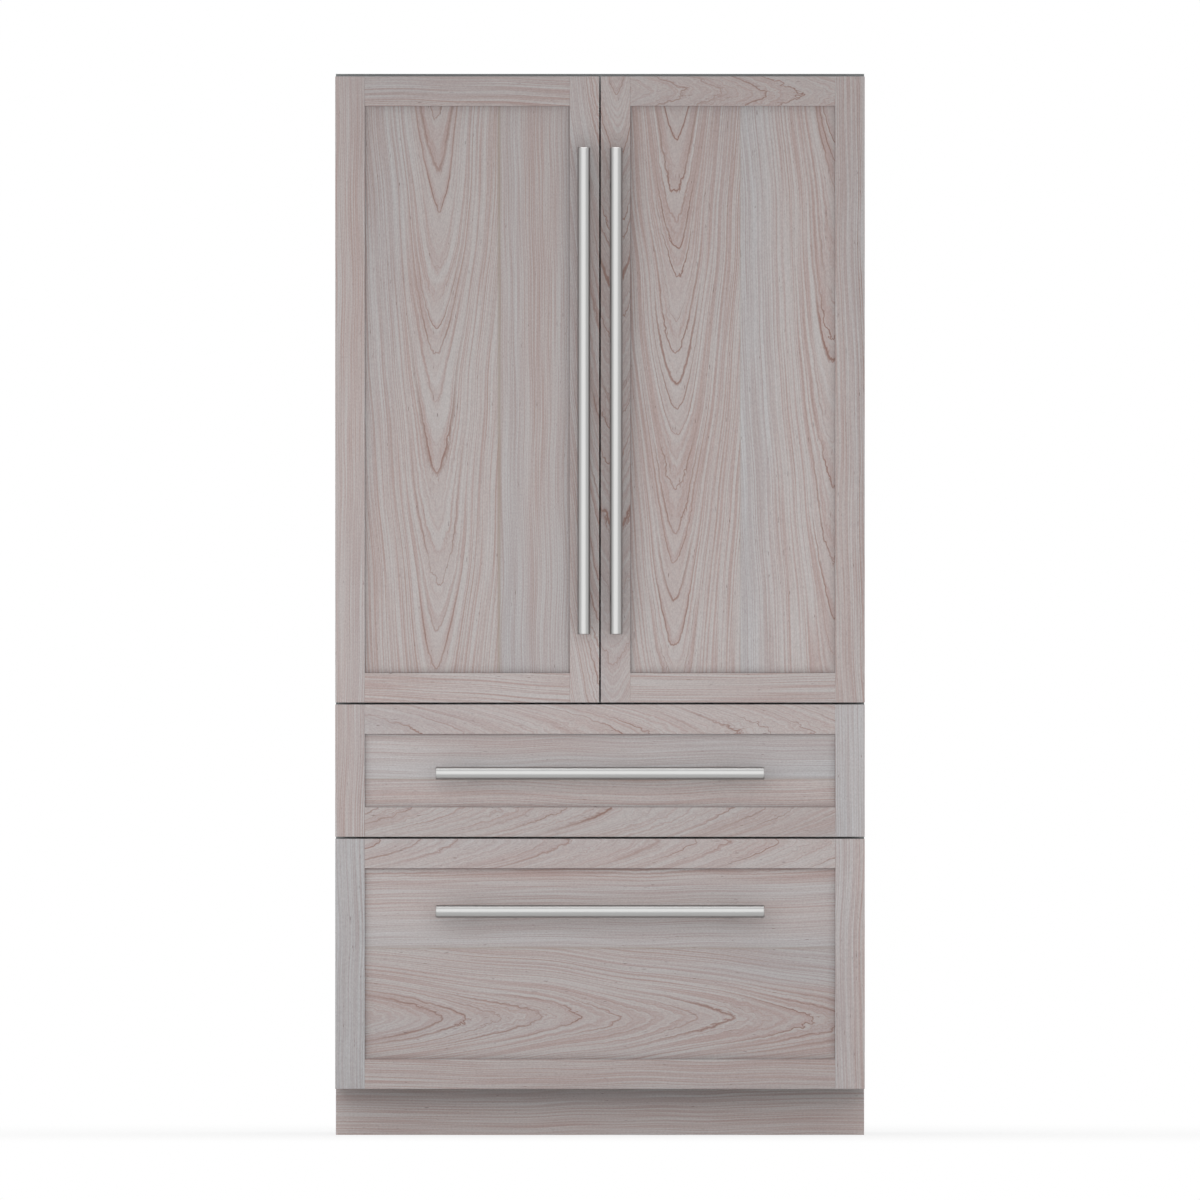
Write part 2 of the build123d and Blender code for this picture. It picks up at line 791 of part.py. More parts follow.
def make_insulation():
    """The foam of the case as flat slabs, with two holes in the top one for anti-tip screws."""
    front_y = case_front_y + sheet
    across = (-liner_half, liner_half)
    low = toe_height + sheet
    slabs = [
        (across, (front_y, foam_rear_y), (ceiling, foam_top)),
        (across, (liner_rear_y, foam_rear_y), (hump_top, ceiling)),
        (across, (front_y, machine_front_y), (low, floor_top)),
        (across, (hump_front_y, machine_front_y), (floor_top, hump_top)),
        (across, (machine_front_y, foam_rear_y), (machine_top, hump_top)),
        (across, (front_y, liner_rear_y), lower_divider),
        (across, (front_y, liner_rear_y), upper_divider),
    ]
    for side in (-1, 1):
        x = mirrored((liner_half, foam_half), side)
        slabs.append((x, (front_y, foam_rear_y), (machine_top, foam_top)))
        slabs.append((x, (front_y, machine_front_y), (low, machine_top)))
    with BuildPart() as insulation:
        for x, y, z in slabs:
            slab(grown(x, -foam_play), grown(y, -foam_play), grown(z, -foam_play))
        with Locations((0, rear_y - anti_tip_rear_distance, foam_top)):
            with GridLocations(anti_tip_spacing, 0, 2, 1):
                Hole(anti_tip_radius, depth=anti_tip_depth - sheet)
    save(insulation, "case_insulation")


def make_front_frame():
    """The sheet that the gaskets close on, with an opening for each compartment."""
    with BuildPart() as frame:
        front = (case_front_y, case_front_y + sheet)
        slab((-foam_half, foam_half), front, (toe_height + sheet, foam_top))
        for _, inside in compartments:
            slab((-inside_half, inside_half), front, inside, Mode.SUBTRACT)
    save(frame, "front_frame")


def make_liners():
    """Three open boxes of white plastic; the lowest one steps over the machine space."""
    across = (-liner_half, liner_half)
    front_y = case_front_y + sheet
    with BuildPart() as liners:
        for outer, inside in compartments:
            slab(across, (front_y, liner_rear_y), outer)
            slab((-inside_half, inside_half), (front_y, inside_rear_y), inside, Mode.SUBTRACT)
        slab(across, (hump_front_y - liner_wall, liner_rear_y), (floor_top, hump_inside))
        slab(across, (hump_front_y, liner_rear_y), (floor_top, hump_top), Mode.SUBTRACT)
    save(liners, "liners")


# Base


def make_base_frame():
    """The tray on the feet, its skirts, the machine space's side plates and a box over each foot."""
    half = foam_half
    y = (toe_rear_y, foam_rear_y)
    with BuildPart() as base:
        slab((-half, half), y, (skirt_low, base_top))
        for side in (-1, 1):
            x = mirrored((half - skirt_thickness, half), side)
            slab(x, y, (skirt_low, toe_height))
            slab(x, (machine_front_y + sheet, foam_rear_y), (toe_height, machine_top - sheet))
        for foot_x, foot_y in foot_places:
            box_x = grown((foot_x, foot_x), foot_box_length / 2)
            box_y = grown((foot_y, foot_y), foot_box_depth / 2)
            slab(box_x, box_y, (base_top, base_top + foot_box_height))
            hollow_z = (base_top, base_top + foot_box_height - skirt_thickness)
            slab(box_x, grown(box_y, -skirt_thickness), hollow_z, Mode.SUBTRACT)
        with BuildSketch(Plane.XY.offset(skirt_low)):
            with Locations(*foot_places):
                Circle(foot_stem_radius + foot_stem_play)
        extrude(amount=base_pan_thickness, mode=Mode.SUBTRACT)
    save(base, "base_frame")


def make_toe_kick():
    """The recessed timber board that reaches the floor."""
    with BuildPart() as toe:
        slab((-case_half, case_half), (case_front_y, toe_rear_y), (0, toe_height))
        chamfer(toe.faces().filter_by(Axis.Y).sort_by(Axis.Y)[0].edges(), edge_ease)
    save(toe, "toe_kick")


def make_levelling_feet():
    """Four pads, each on a threaded stem that passes through the tray, with its nut beneath."""
    with BuildPart() as feet:
        with BuildSketch():
            with Locations(*foot_places):
                Circle(foot_radius)
        extrude(amount=foot_pad_height)
        chamfer(feet.edges().filter_by(GeomType.CIRCLE).group_by(Axis.Z)[-1], foot_pad_ease)
        with BuildSketch(Plane.XY.offset(foot_pad_height)):
            with Locations(*foot_places):
                Circle(foot_stem_radius)
        extrude(amount=base_top + foot_stem_reach - foot_pad_height)
        with BuildSketch(Plane.XY.offset(skirt_low - foot_nut_height)):
            with Locations(*foot_places):
                RegularPolygon(foot_nut_half, 6, major_radius=False)
        extrude(amount=foot_nut_height)
    save(feet, "levelling_feet")


# Machine space


def make_compressor():
    """A domed steel pot on a footed plate."""
    place = (compressor_x, machine_middle_y)
    plate_z = base_top + compressor_foot_height
    with BuildPart() as compressor:
        with BuildSketch(Plane.XY.offset(base_top)):
            with Locations(place):
                with GridLocations(2 * compressor_foot_spread, 2 * compressor_foot_spread, 2, 2):
                    Circle(compressor_foot_radius)
        extrude(amount=compressor_foot_height)
        with BuildSketch(Plane.XY.offset(plate_z)):
            with Locations(place):
                side = 2 * (compressor_foot_spread + compressor_foot_radius)
                RectangleRounded(side, side, compressor_foot_radius)
        extrude(amount=compressor_plate)
        with BuildSketch(Plane.XY.offset(plate_z + compressor_plate)):
            with Locations(place):
                Circle(compressor_radius)
        extrude(amount=compressor_height)
        dome = compressor.edges().filter_by(GeomType.CIRCLE).group_by(Axis.Z)[-1]
        fillet(dome, compressor_dome_round)
        with BuildSketch(Plane.XY.offset(plate_z + compressor_plate + compressor_band_rise)):
            with Locations(place):
                Circle(compressor_radius + compressor_band_proud)
        extrude(amount=compressor_band_height)
    save(compressor, "compressor")


def make_coil(x, y, z, name):
    """Thin fins across a bank of tubes, which end plates hold."""
    with BuildPart() as coil:
        spacing = (x[1] - x[0] - 2 * coil_end_plate) / (coil_fin_count + 1)
        for fin in range(coil_fin_count):
            centre = x[0] + coil_end_plate + (fin + 1) * spacing
            slab(grown((centre, centre), coil_fin / 2), y, z)
        slab((x[0], x[0] + coil_end_plate), y, z)
        slab((x[1] - coil_end_plate, x[1]), y, z)
        columns = int((y[1] - y[0]) // coil_tube_pitch)
        rows = int((z[1] - z[0]) // coil_tube_pitch)
        with BuildSketch(Plane.YZ.offset(x[0])):
            with Locations(((y[0] + y[1]) / 2, (z[0] + z[1]) / 2)):
                with GridLocations(coil_tube_pitch, coil_tube_pitch, columns, rows):
                    Circle(coil_tube_radius)
        extrude(amount=x[1] - x[0])
    save(coil, name)


def make_condenser():
    """The warm coil on the tray, beside the shroud of its fan."""
    start = shroud_x + shroud_depth / 2 + warm_coil_gap
    y = grown((machine_middle_y, machine_middle_y), warm_coil_depth / 2)
    z = (base_top, base_top + warm_coil_height)
    make_coil((start, start + warm_coil_length), y, z, "condenser")


def make_fan_shroud():
    """A square ring on the tray, with the fan's motor held on four spokes."""
    centre = (machine_middle_y, base_top + shroud_half_width)
    rear_x = shroud_x - shroud_depth / 2
    with BuildPart() as shroud:
        with BuildSketch(Plane.YZ.offset(rear_x)):
            with Locations(centre):
                RectangleRounded(2 * shroud_half_width, 2 * shroud_half_width, shroud_corner)
                Circle(warm_fan_radius + fan_tip_play, mode=Mode.SUBTRACT)
        extrude(amount=shroud_depth)
        with BuildSketch(Plane.YZ.offset(rear_x)):
            with Locations(centre):
                Rectangle(2 * (warm_fan_radius + fan_tip_play), 2 * spoke_half_width)
                Rectangle(2 * spoke_half_width, 2 * (warm_fan_radius + fan_tip_play))
                Circle(motor_radius)
        extrude(amount=spoke_depth)
        motor_end = rear_x + spoke_depth
        with BuildSketch(Plane.YZ.offset(motor_end)):
            with Locations(centre):
                Circle(fan_shaft_radius)
        extrude(amount=motor_gap + fan_hub_length)
        with BuildSketch(Plane.YZ.offset(rear_x)):
            with Locations(centre):
                Circle(motor_radius)
        extrude(amount=-motor_length)
    save(shroud, "fan_shroud")


def make_fan(plane, radius, name):
    """A hub with pitched blades, turning on a shaft along the plane's normal."""
    with BuildPart() as fan:
        with BuildSketch(plane):
            Circle(fan_hub_radius)
            Circle(fan_shaft_radius + fan_shaft_play, mode=Mode.SUBTRACT)
        extrude(amount=fan_hub_length)
        hub_middle = plane.offset(fan_hub_length / 2)
        inner = fan_hub_radius - fan_blade_root
        for blade in range(fan_blade_count):
            around = Location(hub_middle) * Rotation(0, 0, 360 * blade / fan_blade_count)
            outward = around * Location(((inner + radius) / 2, 0, 0)) * Rotation(fan_blade_pitch, 0, 0)
            add(outward * Box(radius - inner, fan_blade_chord, fan_blade_thickness, mode=Mode.PRIVATE))
    save(fan, name)


# Cold coil and its cover


def make_evaporator():
    """The cold coil, behind its cover above the step."""
    front = cover_front_y + cover_wall + cover_gap
    z = (hump_inside, hump_inside + cold_coil_height)
    x = (-cold_coil_half_width, cold_coil_half_width)
    make_coil(x, (front, front + cold_coil_depth), z, "evaporator")


def make_evaporator_cover():
    """A moulded box front with a fan opening, the motor's spider in it, and return-air slots."""
    x = (-cover_half_width, cover_half_width)
    z = (hump_inside, lower_inside[1])
    fan_z = hump_inside + cold_fan_rise
    front = Plane.XZ.offset(-cover_front_y)
    with BuildPart() as cover:
        slab(x, (cover_front_y, inside_rear_y), z)
        hollow_y = (cover_front_y + cover_wall, inside_rear_y)
        slab(grown(x, -cover_wall), hollow_y, (z[0], z[1] - cover_wall), Mode.SUBTRACT)
        with BuildSketch(front):
            with Locations((0, fan_z)):
                Circle(cold_fan_radius + fan_tip_play)
            with Locations((0, hump_inside + return_slot_rise)):
                with GridLocations(return_slot_pitch, 0, return_slot_count, 1):
                    SlotOverall(return_slot_length, return_slot_height)
        extrude(amount=-cover_wall, mode=Mode.SUBTRACT)
        with BuildSketch(front):
            with Locations((0, fan_z)):
                Rectangle(2 * (cold_fan_radius + fan_tip_play), 2 * spoke_half_width)
                Rectangle(2 * spoke_half_width, 2 * (cold_fan_radius + fan_tip_play))
                Circle(motor_radius)
        extrude(amount=-cover_wall)
        with BuildSketch(front.offset(-cover_wall)):
            with Locations((0, fan_z)):
                Circle(motor_radius)
        extrude(amount=-motor_length)
        with BuildSketch(front.offset(-cover_wall - motor_length)):
            with Locations((0, fan_z)):
                Circle(fan_shaft_radius)
        extrude(amount=-(motor_gap + fan_hub_length))
    save(cover, "evaporator_cover")


# Upper compartment


def column_limits(side):
    """The outer sides of the shelves of one column."""
    return mirrored((shelf_gap / 2, inside_half - shelf_side_play), side)


def shelf_levels():
    """The undersides of the glass panes."""
    low = fridge_floor + crisper_stack_height + shelf_above_crispers
    return evenly(low, fridge_ceiling - shelf_below_ceiling, shelf_rows)


def arm_centres(side):
    """The middles of the two arms under each shelf of a column."""
    x = column_limits(side)
    half = arm_edge_distance + arm_thickness / 2
    return (x[0] + half, x[1] - half)


def make_shelf_tracks():
    """Slotted uprights on the rear wall, one behind each shelf arm."""
    y = (inside_rear_y - track_thickness, inside_rear_y)
    low = fridge_floor + crisper_stack_height + track_end_gap
    z = (low, fridge_ceiling - track_end_gap)
    slot_pitch = (z[1] - z[0]) / track_slot_count
    with BuildPart() as tracks:
        for side in (-1, 1):
            for centre in arm_centres(side):
                slab(grown((centre, centre), track_width / 2), y, z)
        with BuildSketch(Plane.XZ.offset(-y[0])):
            for side in (-1, 1):
                for centre in arm_centres(side):
                    with Locations((centre, (z[0] + z[1]) / 2)):
                        with GridLocations(0, slot_pitch, 1, track_slot_count):
                            Rectangle(track_slot_width, track_slot_height)
        extrude(amount=-track_thickness, mode=Mode.SUBTRACT)
    save(tracks, "shelf_tracks")


def make_shelf_frames():
    """Six frames: two tapered arms joined by a bar at the front and one at the back."""
    rear = inside_rear_y - track_thickness
    with BuildPart() as frames:
        for side in (-1, 1):
            x = column_limits(side)
            for level in shelf_levels():
                for centre in arm_centres(side):
                    with BuildSketch(Plane.YZ.offset(centre - arm_thickness / 2)):
                        with BuildLine():
                            Polyline(
                                (shelf_front_y + trim_depth, level),
                                (rear, level),
                                (rear, level - arm_rear_height),
                                (shelf_front_y + trim_depth, level - arm_nose_height),
                                close=True,
                            )
                        make_face()
                    extrude(amount=arm_thickness)
                trim_z = (level - trim_height + glass_thickness, level + glass_thickness)
                slab(x, (shelf_front_y, shelf_front_y + trim_depth), trim_z)
                bar_rear = rear - track_thickness
                slab(arm_centres(side), (bar_rear - trim_depth, bar_rear), (level - trim_height, level))
    save(frames, "shelf_frames")


def make_shelf_glass():
    """Six panes, each lying on its arms behind the front bar."""
    with BuildPart() as glass:
        for side in (-1, 1):
            for level in shelf_levels():
                y = (shelf_front_y + trim_depth, inside_rear_y - track_thickness - glass_rear_gap)
                slab(column_limits(side), y, (level, level + glass_thickness))
    save(glass, "shelf_glass")


def make_controls_and_lamp():
    """The housing under the ceiling, near the front, and a shallow lens behind it."""
    front = case_front_y + control_setback
    housing_y = (front, front + control_depth)
    lens_y = (housing_y[1] + lamp_setback, housing_y[1] + lamp_setback + lamp_depth)
    with BuildPart() as controls:
        housing_z = (fridge_ceiling - control_height, fridge_ceiling)
        slab((-control_half_width, control_half_width), housing_y, housing_z)
        fillet(controls.edges().filter_by(Axis.Z), control_corner)
        fillet(controls.faces().sort_by(Axis.Z)[0].edges(), control_edge_round)
    with BuildPart() as lens:
        lens_z = (fridge_ceiling - lamp_height, fridge_ceiling)
        slab((-lamp_half_width, lamp_half_width), lens_y, lens_z)
        fillet(lens.edges().filter_by(Axis.Z), control_corner)
        fillet(lens.faces().sort_by(Axis.Z)[0].edges(), lamp_edge_round)
    with BuildPart() as fittings:
        add(controls.part)
        add(lens.part)
    save(fittings, "controls_and_lamp")


# Crispers


def crisper_limits(side):
    """The sides of a crisper's rim."""
    outer = inside_half - crisper_side_support - crisper_side_play
    return mirrored((crisper_support_half + crisper_side_play, outer), side)


def make_crisper_frame():
    """The lid over both crispers on three hollow uprights, with the ledges that they run on."""
    front = crisper_front_y + crisper_frame_setback
    y = (front, inside_rear_y)
    low = fridge_floor
    lid = (low + crisper_stack_height - crisper_lid_thickness, low + crisper_stack_height)
    ledge_top = crisper_low + crisper_height - crisper_lip_thickness - crisper_running_play
    ledge_z = (ledge_top - crisper_ledge_height, ledge_top)
    reach = crisper_side_play + crisper_ledge_lap
    with BuildPart() as frame:
        slab((-inside_half, inside_half), y, lid)
        slab((-crisper_support_half, crisper_support_half), y, (low, lid[0]))
        hollow_y = (front + crisper_frame_wall, inside_rear_y)
        hollow_half = crisper_support_half - crisper_frame_wall
        slab((-hollow_half, hollow_half), hollow_y, (low, lid[0]), Mode.SUBTRACT)
        for side in (-1, 1):
            inner = inside_half - crisper_side_support
            slab(mirrored((inner, inside_half), side), y, (low, lid[0]))
            hollow_x = mirrored((inner + crisper_frame_wall, inside_half), side)
            slab(hollow_x, hollow_y, (low, lid[0]), Mode.SUBTRACT)
            slab(mirrored((inner - reach, inner), side), y, ledge_z)
            slab(mirrored((crisper_support_half, crisper_support_half + reach), side), y, ledge_z)
    save(frame, "crisper_frame")


def make_crisper(side, name):
    """An open drawer with a rim along its sides and a finger pull across its front."""
    rim_x = crisper_limits(side)
    x = grown(rim_x, -crisper_lip)
    y = (crisper_front_y, crisper_front_y + crisper_depth)
    z = (crisper_low, crisper_low + crisper_height)
    middle = ((x[0] + x[1]) / 2, (y[0] + y[1]) / 2)
    with BuildPart() as crisper:
        with BuildSketch(Plane.XY.offset(z[0])):
            with Locations(middle):
                RectangleRounded(x[1] - x[0], y[1] - y[0], crisper_corner)
        extrude(amount=crisper_height)
        slab(rim_x, grown(y, -crisper_corner), (z[1] - crisper_lip_thickness, z[1]))
        pull_x = grown((middle[0], middle[0]), crisper_pull_width / 2)
        pull_z = (z[1] - crisper_pull_height, z[1])
        slab(pull_x, (y[0] - crisper_pull_depth, y[0]), pull_z)
        scoop_x = grown(pull_x, -crisper_wall)
        scoop_z = (pull_z[0], pull_z[1] - crisper_wall)
        slab(scoop_x, (y[0] - crisper_pull_depth + crisper_wall, y[0]), scoop_z, Mode.SUBTRACT)
        with BuildSketch(Plane.XY.offset(z[0] + crisper_wall)):
            with Locations(middle):
                RectangleRounded(
                    x[1] - x[0] - 2 * crisper_wall,
                    y[1] - y[0] - 2 * crisper_wall,
                    crisper_corner - crisper_wall,
                )
        extrude(amount=crisper_height, mode=Mode.SUBTRACT)
    save(crisper, name)


# Drawer runners and baskets


def channel(side, outer_x, depth, height, middle_z, y):
    """A C-shaped channel, open towards the drawer, in the part being built."""
    x = mirrored((outer_x - depth, outer_x), side)
    hollow_x = mirrored((outer_x - depth, outer_x - runner_web), side)
    z = grown((middle_z, middle_z), height / 2)
    slab(x, y, z)
    slab(hollow_x, y, grown(z, -runner_web), Mode.SUBTRACT)


def make_fixed_runners():
    """The outer channels on the side walls, a pair for each drawer."""
    with BuildPart() as runners:
        for middle_z in runner_levels.values():
            for side in (-1, 1):
                channel(side, inside_half, runner_fixed_depth, runner_height, middle_z, runner_y)
    save(runners, "fixed_runners")


def make_middle_runners(drawer):
    """The channels that slide half as far as the drawer."""
    outer = inside_half - runner_web - runner_mid_gap
    height = runner_height - 2 * (runner_web + runner_play)
    with BuildPart() as runners:
        for side in (-1, 1):
            channel(side, outer, runner_mid_depth, height, runner_levels[drawer], runner_y)
    save(runners, f"{drawer.name}_middle_runners")


def make_inner_runners(drawer):
    """The channels fixed to the drawer, which reach forward to its front."""
    outer = inside_half - 2 * (runner_web + runner_mid_gap)
    height = runner_height - 4 * (runner_web + runner_play)
    y = (core_rear_y, runner_y[1])
    with BuildPart() as runners:
        for side in (-1, 1):
            channel(side, outer, runner_inner_depth, height, runner_levels[drawer], y)
    save(runners, f"{drawer.name}_inner_runners")


def make_basket(drawer, floor, height, rear):
    """The open box between the inner runners, against the drawer's inner face."""
    low = floor + basket_floor_gap
    half = inside_half - 2 * (runner_web + runner_mid_gap) - runner_inner_depth
    y = (core_rear_y, rear)
    middle_y = (y[0] + y[1]) / 2
    depth = y[1] - y[0]
    with BuildPart() as basket:
        with BuildSketch(Plane.XY.offset(low)):
            with Locations((0, middle_y)):
                RectangleRounded(2 * half, depth, basket_corner)
        extrude(amount=height)
        with BuildSketch(Plane.XY.offset(low + basket_wall)):
            with Locations((0, middle_y)):
                RectangleRounded(
                    2 * (half - basket_wall), depth - 2 * basket_wall, basket_corner - basket_wall
                )
        extrude(amount=height, mode=Mode.SUBTRACT)
    save(basket, f"{drawer.name}_basket")


def main():
    """Builds every piece and writes it."""
    os.makedirs("parts", exist_ok=True)
    for front in fronts:
        make_stiles(front)
        make_rails(front)
        make_centre_panel(front)
        make_gasket(front)
        make_pan(front)
    for door in doors:
        make_door_liner(door)
        make_bins(door)
        make_door_handle(door)
    for drawer in (middle_drawer, lower_drawer):
        make_middle_runners(drawer)
        make_inner_runners(drawer)
    make_drawer_handle(middle_drawer, middle_handle_drop)
    make_drawer_handle(lower_drawer, lower_handle_drop)
    make_basket(middle_drawer, middle_inside[0], middle_basket_height, middle_basket_rear)
    make_basket(lower_drawer, lower_inside[0], lower_basket_height, lower_basket_rear)
    make_fixed_runners()
    make_flipper()
    make_hinge_brackets()
    make_hinge_pins()
    make_outer_wrapper()
    make_rear_panel()
    make_insulation()
    make_front_frame()
    make_liners()
    make_base_frame()
    make_toe_kick()
    make_levelling_feet()
    make_compressor()
    make_condenser()
    make_fan_shroud()
    make_fan(warm_fan_plane, warm_fan_radius, "condenser_fan")
    make_evaporator()
    make_evaporator_cover()
    make_fan(cold_fan_plane, cold_fan_radius, "evaporator_fan")
    make_shelf_tracks()
    make_shelf_frames()
    make_shelf_glass()
    make_controls_and_lamp()
    make_crisper_frame()
    make_crisper(-1, "left_crisper")
    make_crisper(1, "right_crisper")


main()
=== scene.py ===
import json
import math
from typing import NamedTuple

import bmesh
import bpy
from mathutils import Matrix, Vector


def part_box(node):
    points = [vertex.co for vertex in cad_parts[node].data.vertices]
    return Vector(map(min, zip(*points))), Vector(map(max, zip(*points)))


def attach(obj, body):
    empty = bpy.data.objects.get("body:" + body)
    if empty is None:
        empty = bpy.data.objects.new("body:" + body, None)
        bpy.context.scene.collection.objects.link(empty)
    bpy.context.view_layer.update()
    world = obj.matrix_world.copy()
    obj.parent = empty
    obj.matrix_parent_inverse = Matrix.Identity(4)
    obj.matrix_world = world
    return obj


# Looks of a built-in french door refrigerator with framed timber fronts and round bar handles.
# Metres, in the same frame as the solids: +Z up, the fronts face -Y, X across the width.

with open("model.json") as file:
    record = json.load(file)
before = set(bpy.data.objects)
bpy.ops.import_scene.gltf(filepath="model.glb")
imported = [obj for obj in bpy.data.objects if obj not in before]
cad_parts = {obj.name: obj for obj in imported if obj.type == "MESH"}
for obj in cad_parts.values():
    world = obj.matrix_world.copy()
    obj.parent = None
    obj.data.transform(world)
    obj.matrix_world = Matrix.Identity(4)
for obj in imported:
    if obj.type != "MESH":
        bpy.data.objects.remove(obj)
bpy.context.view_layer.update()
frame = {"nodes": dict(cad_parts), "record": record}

# Camera: a long lens, level with the middle of the fronts
camera_distance = 100.0
camera_height = 1.0723
camera_clip_end = 200.0
view_width = 2.4036
sensor_width = 36.0

# Fronts, as the solids have them. A face belongs to the frame member whose centre line is within
# this share of a member's width.
member_width = 0.059
member_share = 0.75
face_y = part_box("middle_drawer_stiles")[0].y
forward = Vector((0, -1, 0))

# Faces that meet at more degrees than this keep a sharp edge between them
sharp_angle = 35

# Heads of screws and keys: rings of height and radius in millimetres. A screw's socket, where the
# rings are hexagons, starts at the ring numbered screw_socket.
screw_rings = ((0, 3.4), (0.9, 3.4), (1.5, 2.9), (1.9, 2.1), (1.9, 1.5), (0.9, 1.4))
screw_socket = 4
key_rings = ((0, 4.6), (0.4, 4.6), (0.9, 3.9), (0.9, 3.2), (0.6, 2.4))

# Bins, as the solids have them, and the section of their rails: millimetres outward and upward
# from the rim's outer edge
bin_height = 0.105
bin_corner = 0.014
bin_rows = 3
bin_rail_start = 0.0475
bin_rail_section = (
    (0.02, -12), (1, -12), (1, 0.4), (0.4, 1), (-2.9, 1), (-3.5, 0.4), (-3.5, -4),
    (-2.53, -4), (-2.53, 0.03), (0.02, 0.03),
)
bin_corner_steps = 8

# Hinge bracket screws, from the brackets' box
bracket_flange = 0.003
bracket_middle = 0.017
bracket_screw_reach = 0.0105
bracket_screw_inset = 0.005

# Screws of the evaporator's cover and of the crisper frame, from the boxes of these
cover_screw_inset = 0.014
crisper_screws_x = (-0.464, 0.0, 0.464)
crisper_screw_rise = 0.016
crisper_screw_drop = 0.026

# Control panel: keys on both sides of a blank window, whose rings are heights and insets
controls_lift = 0.001
key_offsets = (0.048, 0.064, 0.08)
window_half_width = 0.032
window_half_height = 0.0065
window_corner = 0.003
window_corner_step = 15
window_rings = ((0.0, 0.0), (0.0008, 0.0), (0.0012, 0.0005), (0.0012, 0.0018), (0.0009, 0.0022))

# Power inlet in the rear sheet: its middle, half its size, and its pins
inlet_middle = Vector((0.430, 0.3365, 0.190))
inlet_half = Vector((0.0145, 0.0098, 0.0115))
inlet_pin_half_x = 0.0095
inlet_pin_half_z = 0.003
inlet_pin_start_y = -0.0074

# Grain colours, in linear light
pale_wood = (0.438, 0.408, 0.402)
warm_wood = (0.378, 0.300, 0.285)
pale_cool_wood = (0.425, 0.425, 0.435)
cool_wood = (0.362, 0.345, 0.350)
line_wood = (0.245, 0.145, 0.120)
fleck_wood = (0.13, 0.085, 0.075)
seam_wood = (0.285, 0.235, 0.19)
# Painted shade: the colour that the wood beside a frame is darkened towards, where the recess
# would shade it
painted_shade_wood = (0.09, 0.075, 0.075)
end_wood = (0.16, 0.13, 0.12)

# How far the pith line strays along a board, sideways and in depth, in millimetres, and at which
# rates per millimetre
pith_sway = 14
pith_sway_rate = 0.0032
pith_heave = 5
pith_heave_rate = 0.003

# How far the arches of the grain are pointed rather than round, and how jagged, as shares of a
# ring. The points are blunt by the root of blunt_square. Jags are whole up to jag_near from the
# pith and lowest from jag_far on, and their own steepness is found over jag_step. Millimetres.
ring_point = 0.0175
ring_jag = 0.42
blunt_square = 12.0
jag_near = 18
jag_far = 60
jag_step = 1.2
least_steepness = 0.02

# How far rings depart from an even width, as a share of one, and at which rate
ring_uneven = 0.7
ring_uneven_rate = 0.8

# How far a ring's dark line fades after and before the ring's end, and the blush before it. Lines
# are bold up to bold_near from the pith and faint from bold_far on. Millimetres.
line_after = 3.2
line_before = 2.2
blush_before = 26
bold_near = 12
bold_far = 62
faint_line = 0.22

# How strongly thin, fine and wide streaks along the rings sway the warmth of the wood, and how
# strongly the blush before a line warms it
thin_streak = 0.2
fine_streak = 0.82
wide_streak = 0.1
blush_warmth = 0.3

# How strongly flecks darken the wood, how far speckle sways its brightness, and how far up
# speckle stands and lines and flecks lie down in its relief
fleck_strength = 0.7
speckle_sway = 0.13
speckle_rise = 0.5
line_sink = -0.3
fleck_sink = -0.6

# How far past its glue joint a cool plank's cast has faded away, in millimetres
cool_reach = 110

# How wide the painted shade beside a frame is, as a line and as a fade, and the dark line at a
# board's end, in millimetres, and how strong each is
painted_shade_line_width = 3
painted_shade_line_strength = 0.2
painted_shade_width = 18
painted_shade_strength = 0.15
end_line_width = 1.8
end_line_strength = 0.4

# How much of the surface clear plastic and glass cover: the rest lets light straight on
clear_cover = 0.35


class Noise(NamedTuple):
    """Noise over a board: its rates per millimetre along it and across it, and its detail."""

    along: float
    across: float
    detail: float = 1.0


# Across the board
jag_patches = Noise(0.008, 0.014)
jags = Noise(0.05, 0.1, detail=2.0)
broad_tone = Noise(0.0011, 0.013)
cool_patches = Noise(0.0008, 0.009)
flecks = Noise(0.05, 0.42)
speckles = Noise(0.24, 0.4, detail=3.0)

# Across the rings
line_patches = Noise(0.013, 0.07, detail=2.0)
thin_streaks = Noise(0.0021, 0.3, detail=1.5)
fine_streaks = Noise(0.0034, 0.62)
wide_streaks = Noise(0.0012, 0.05)


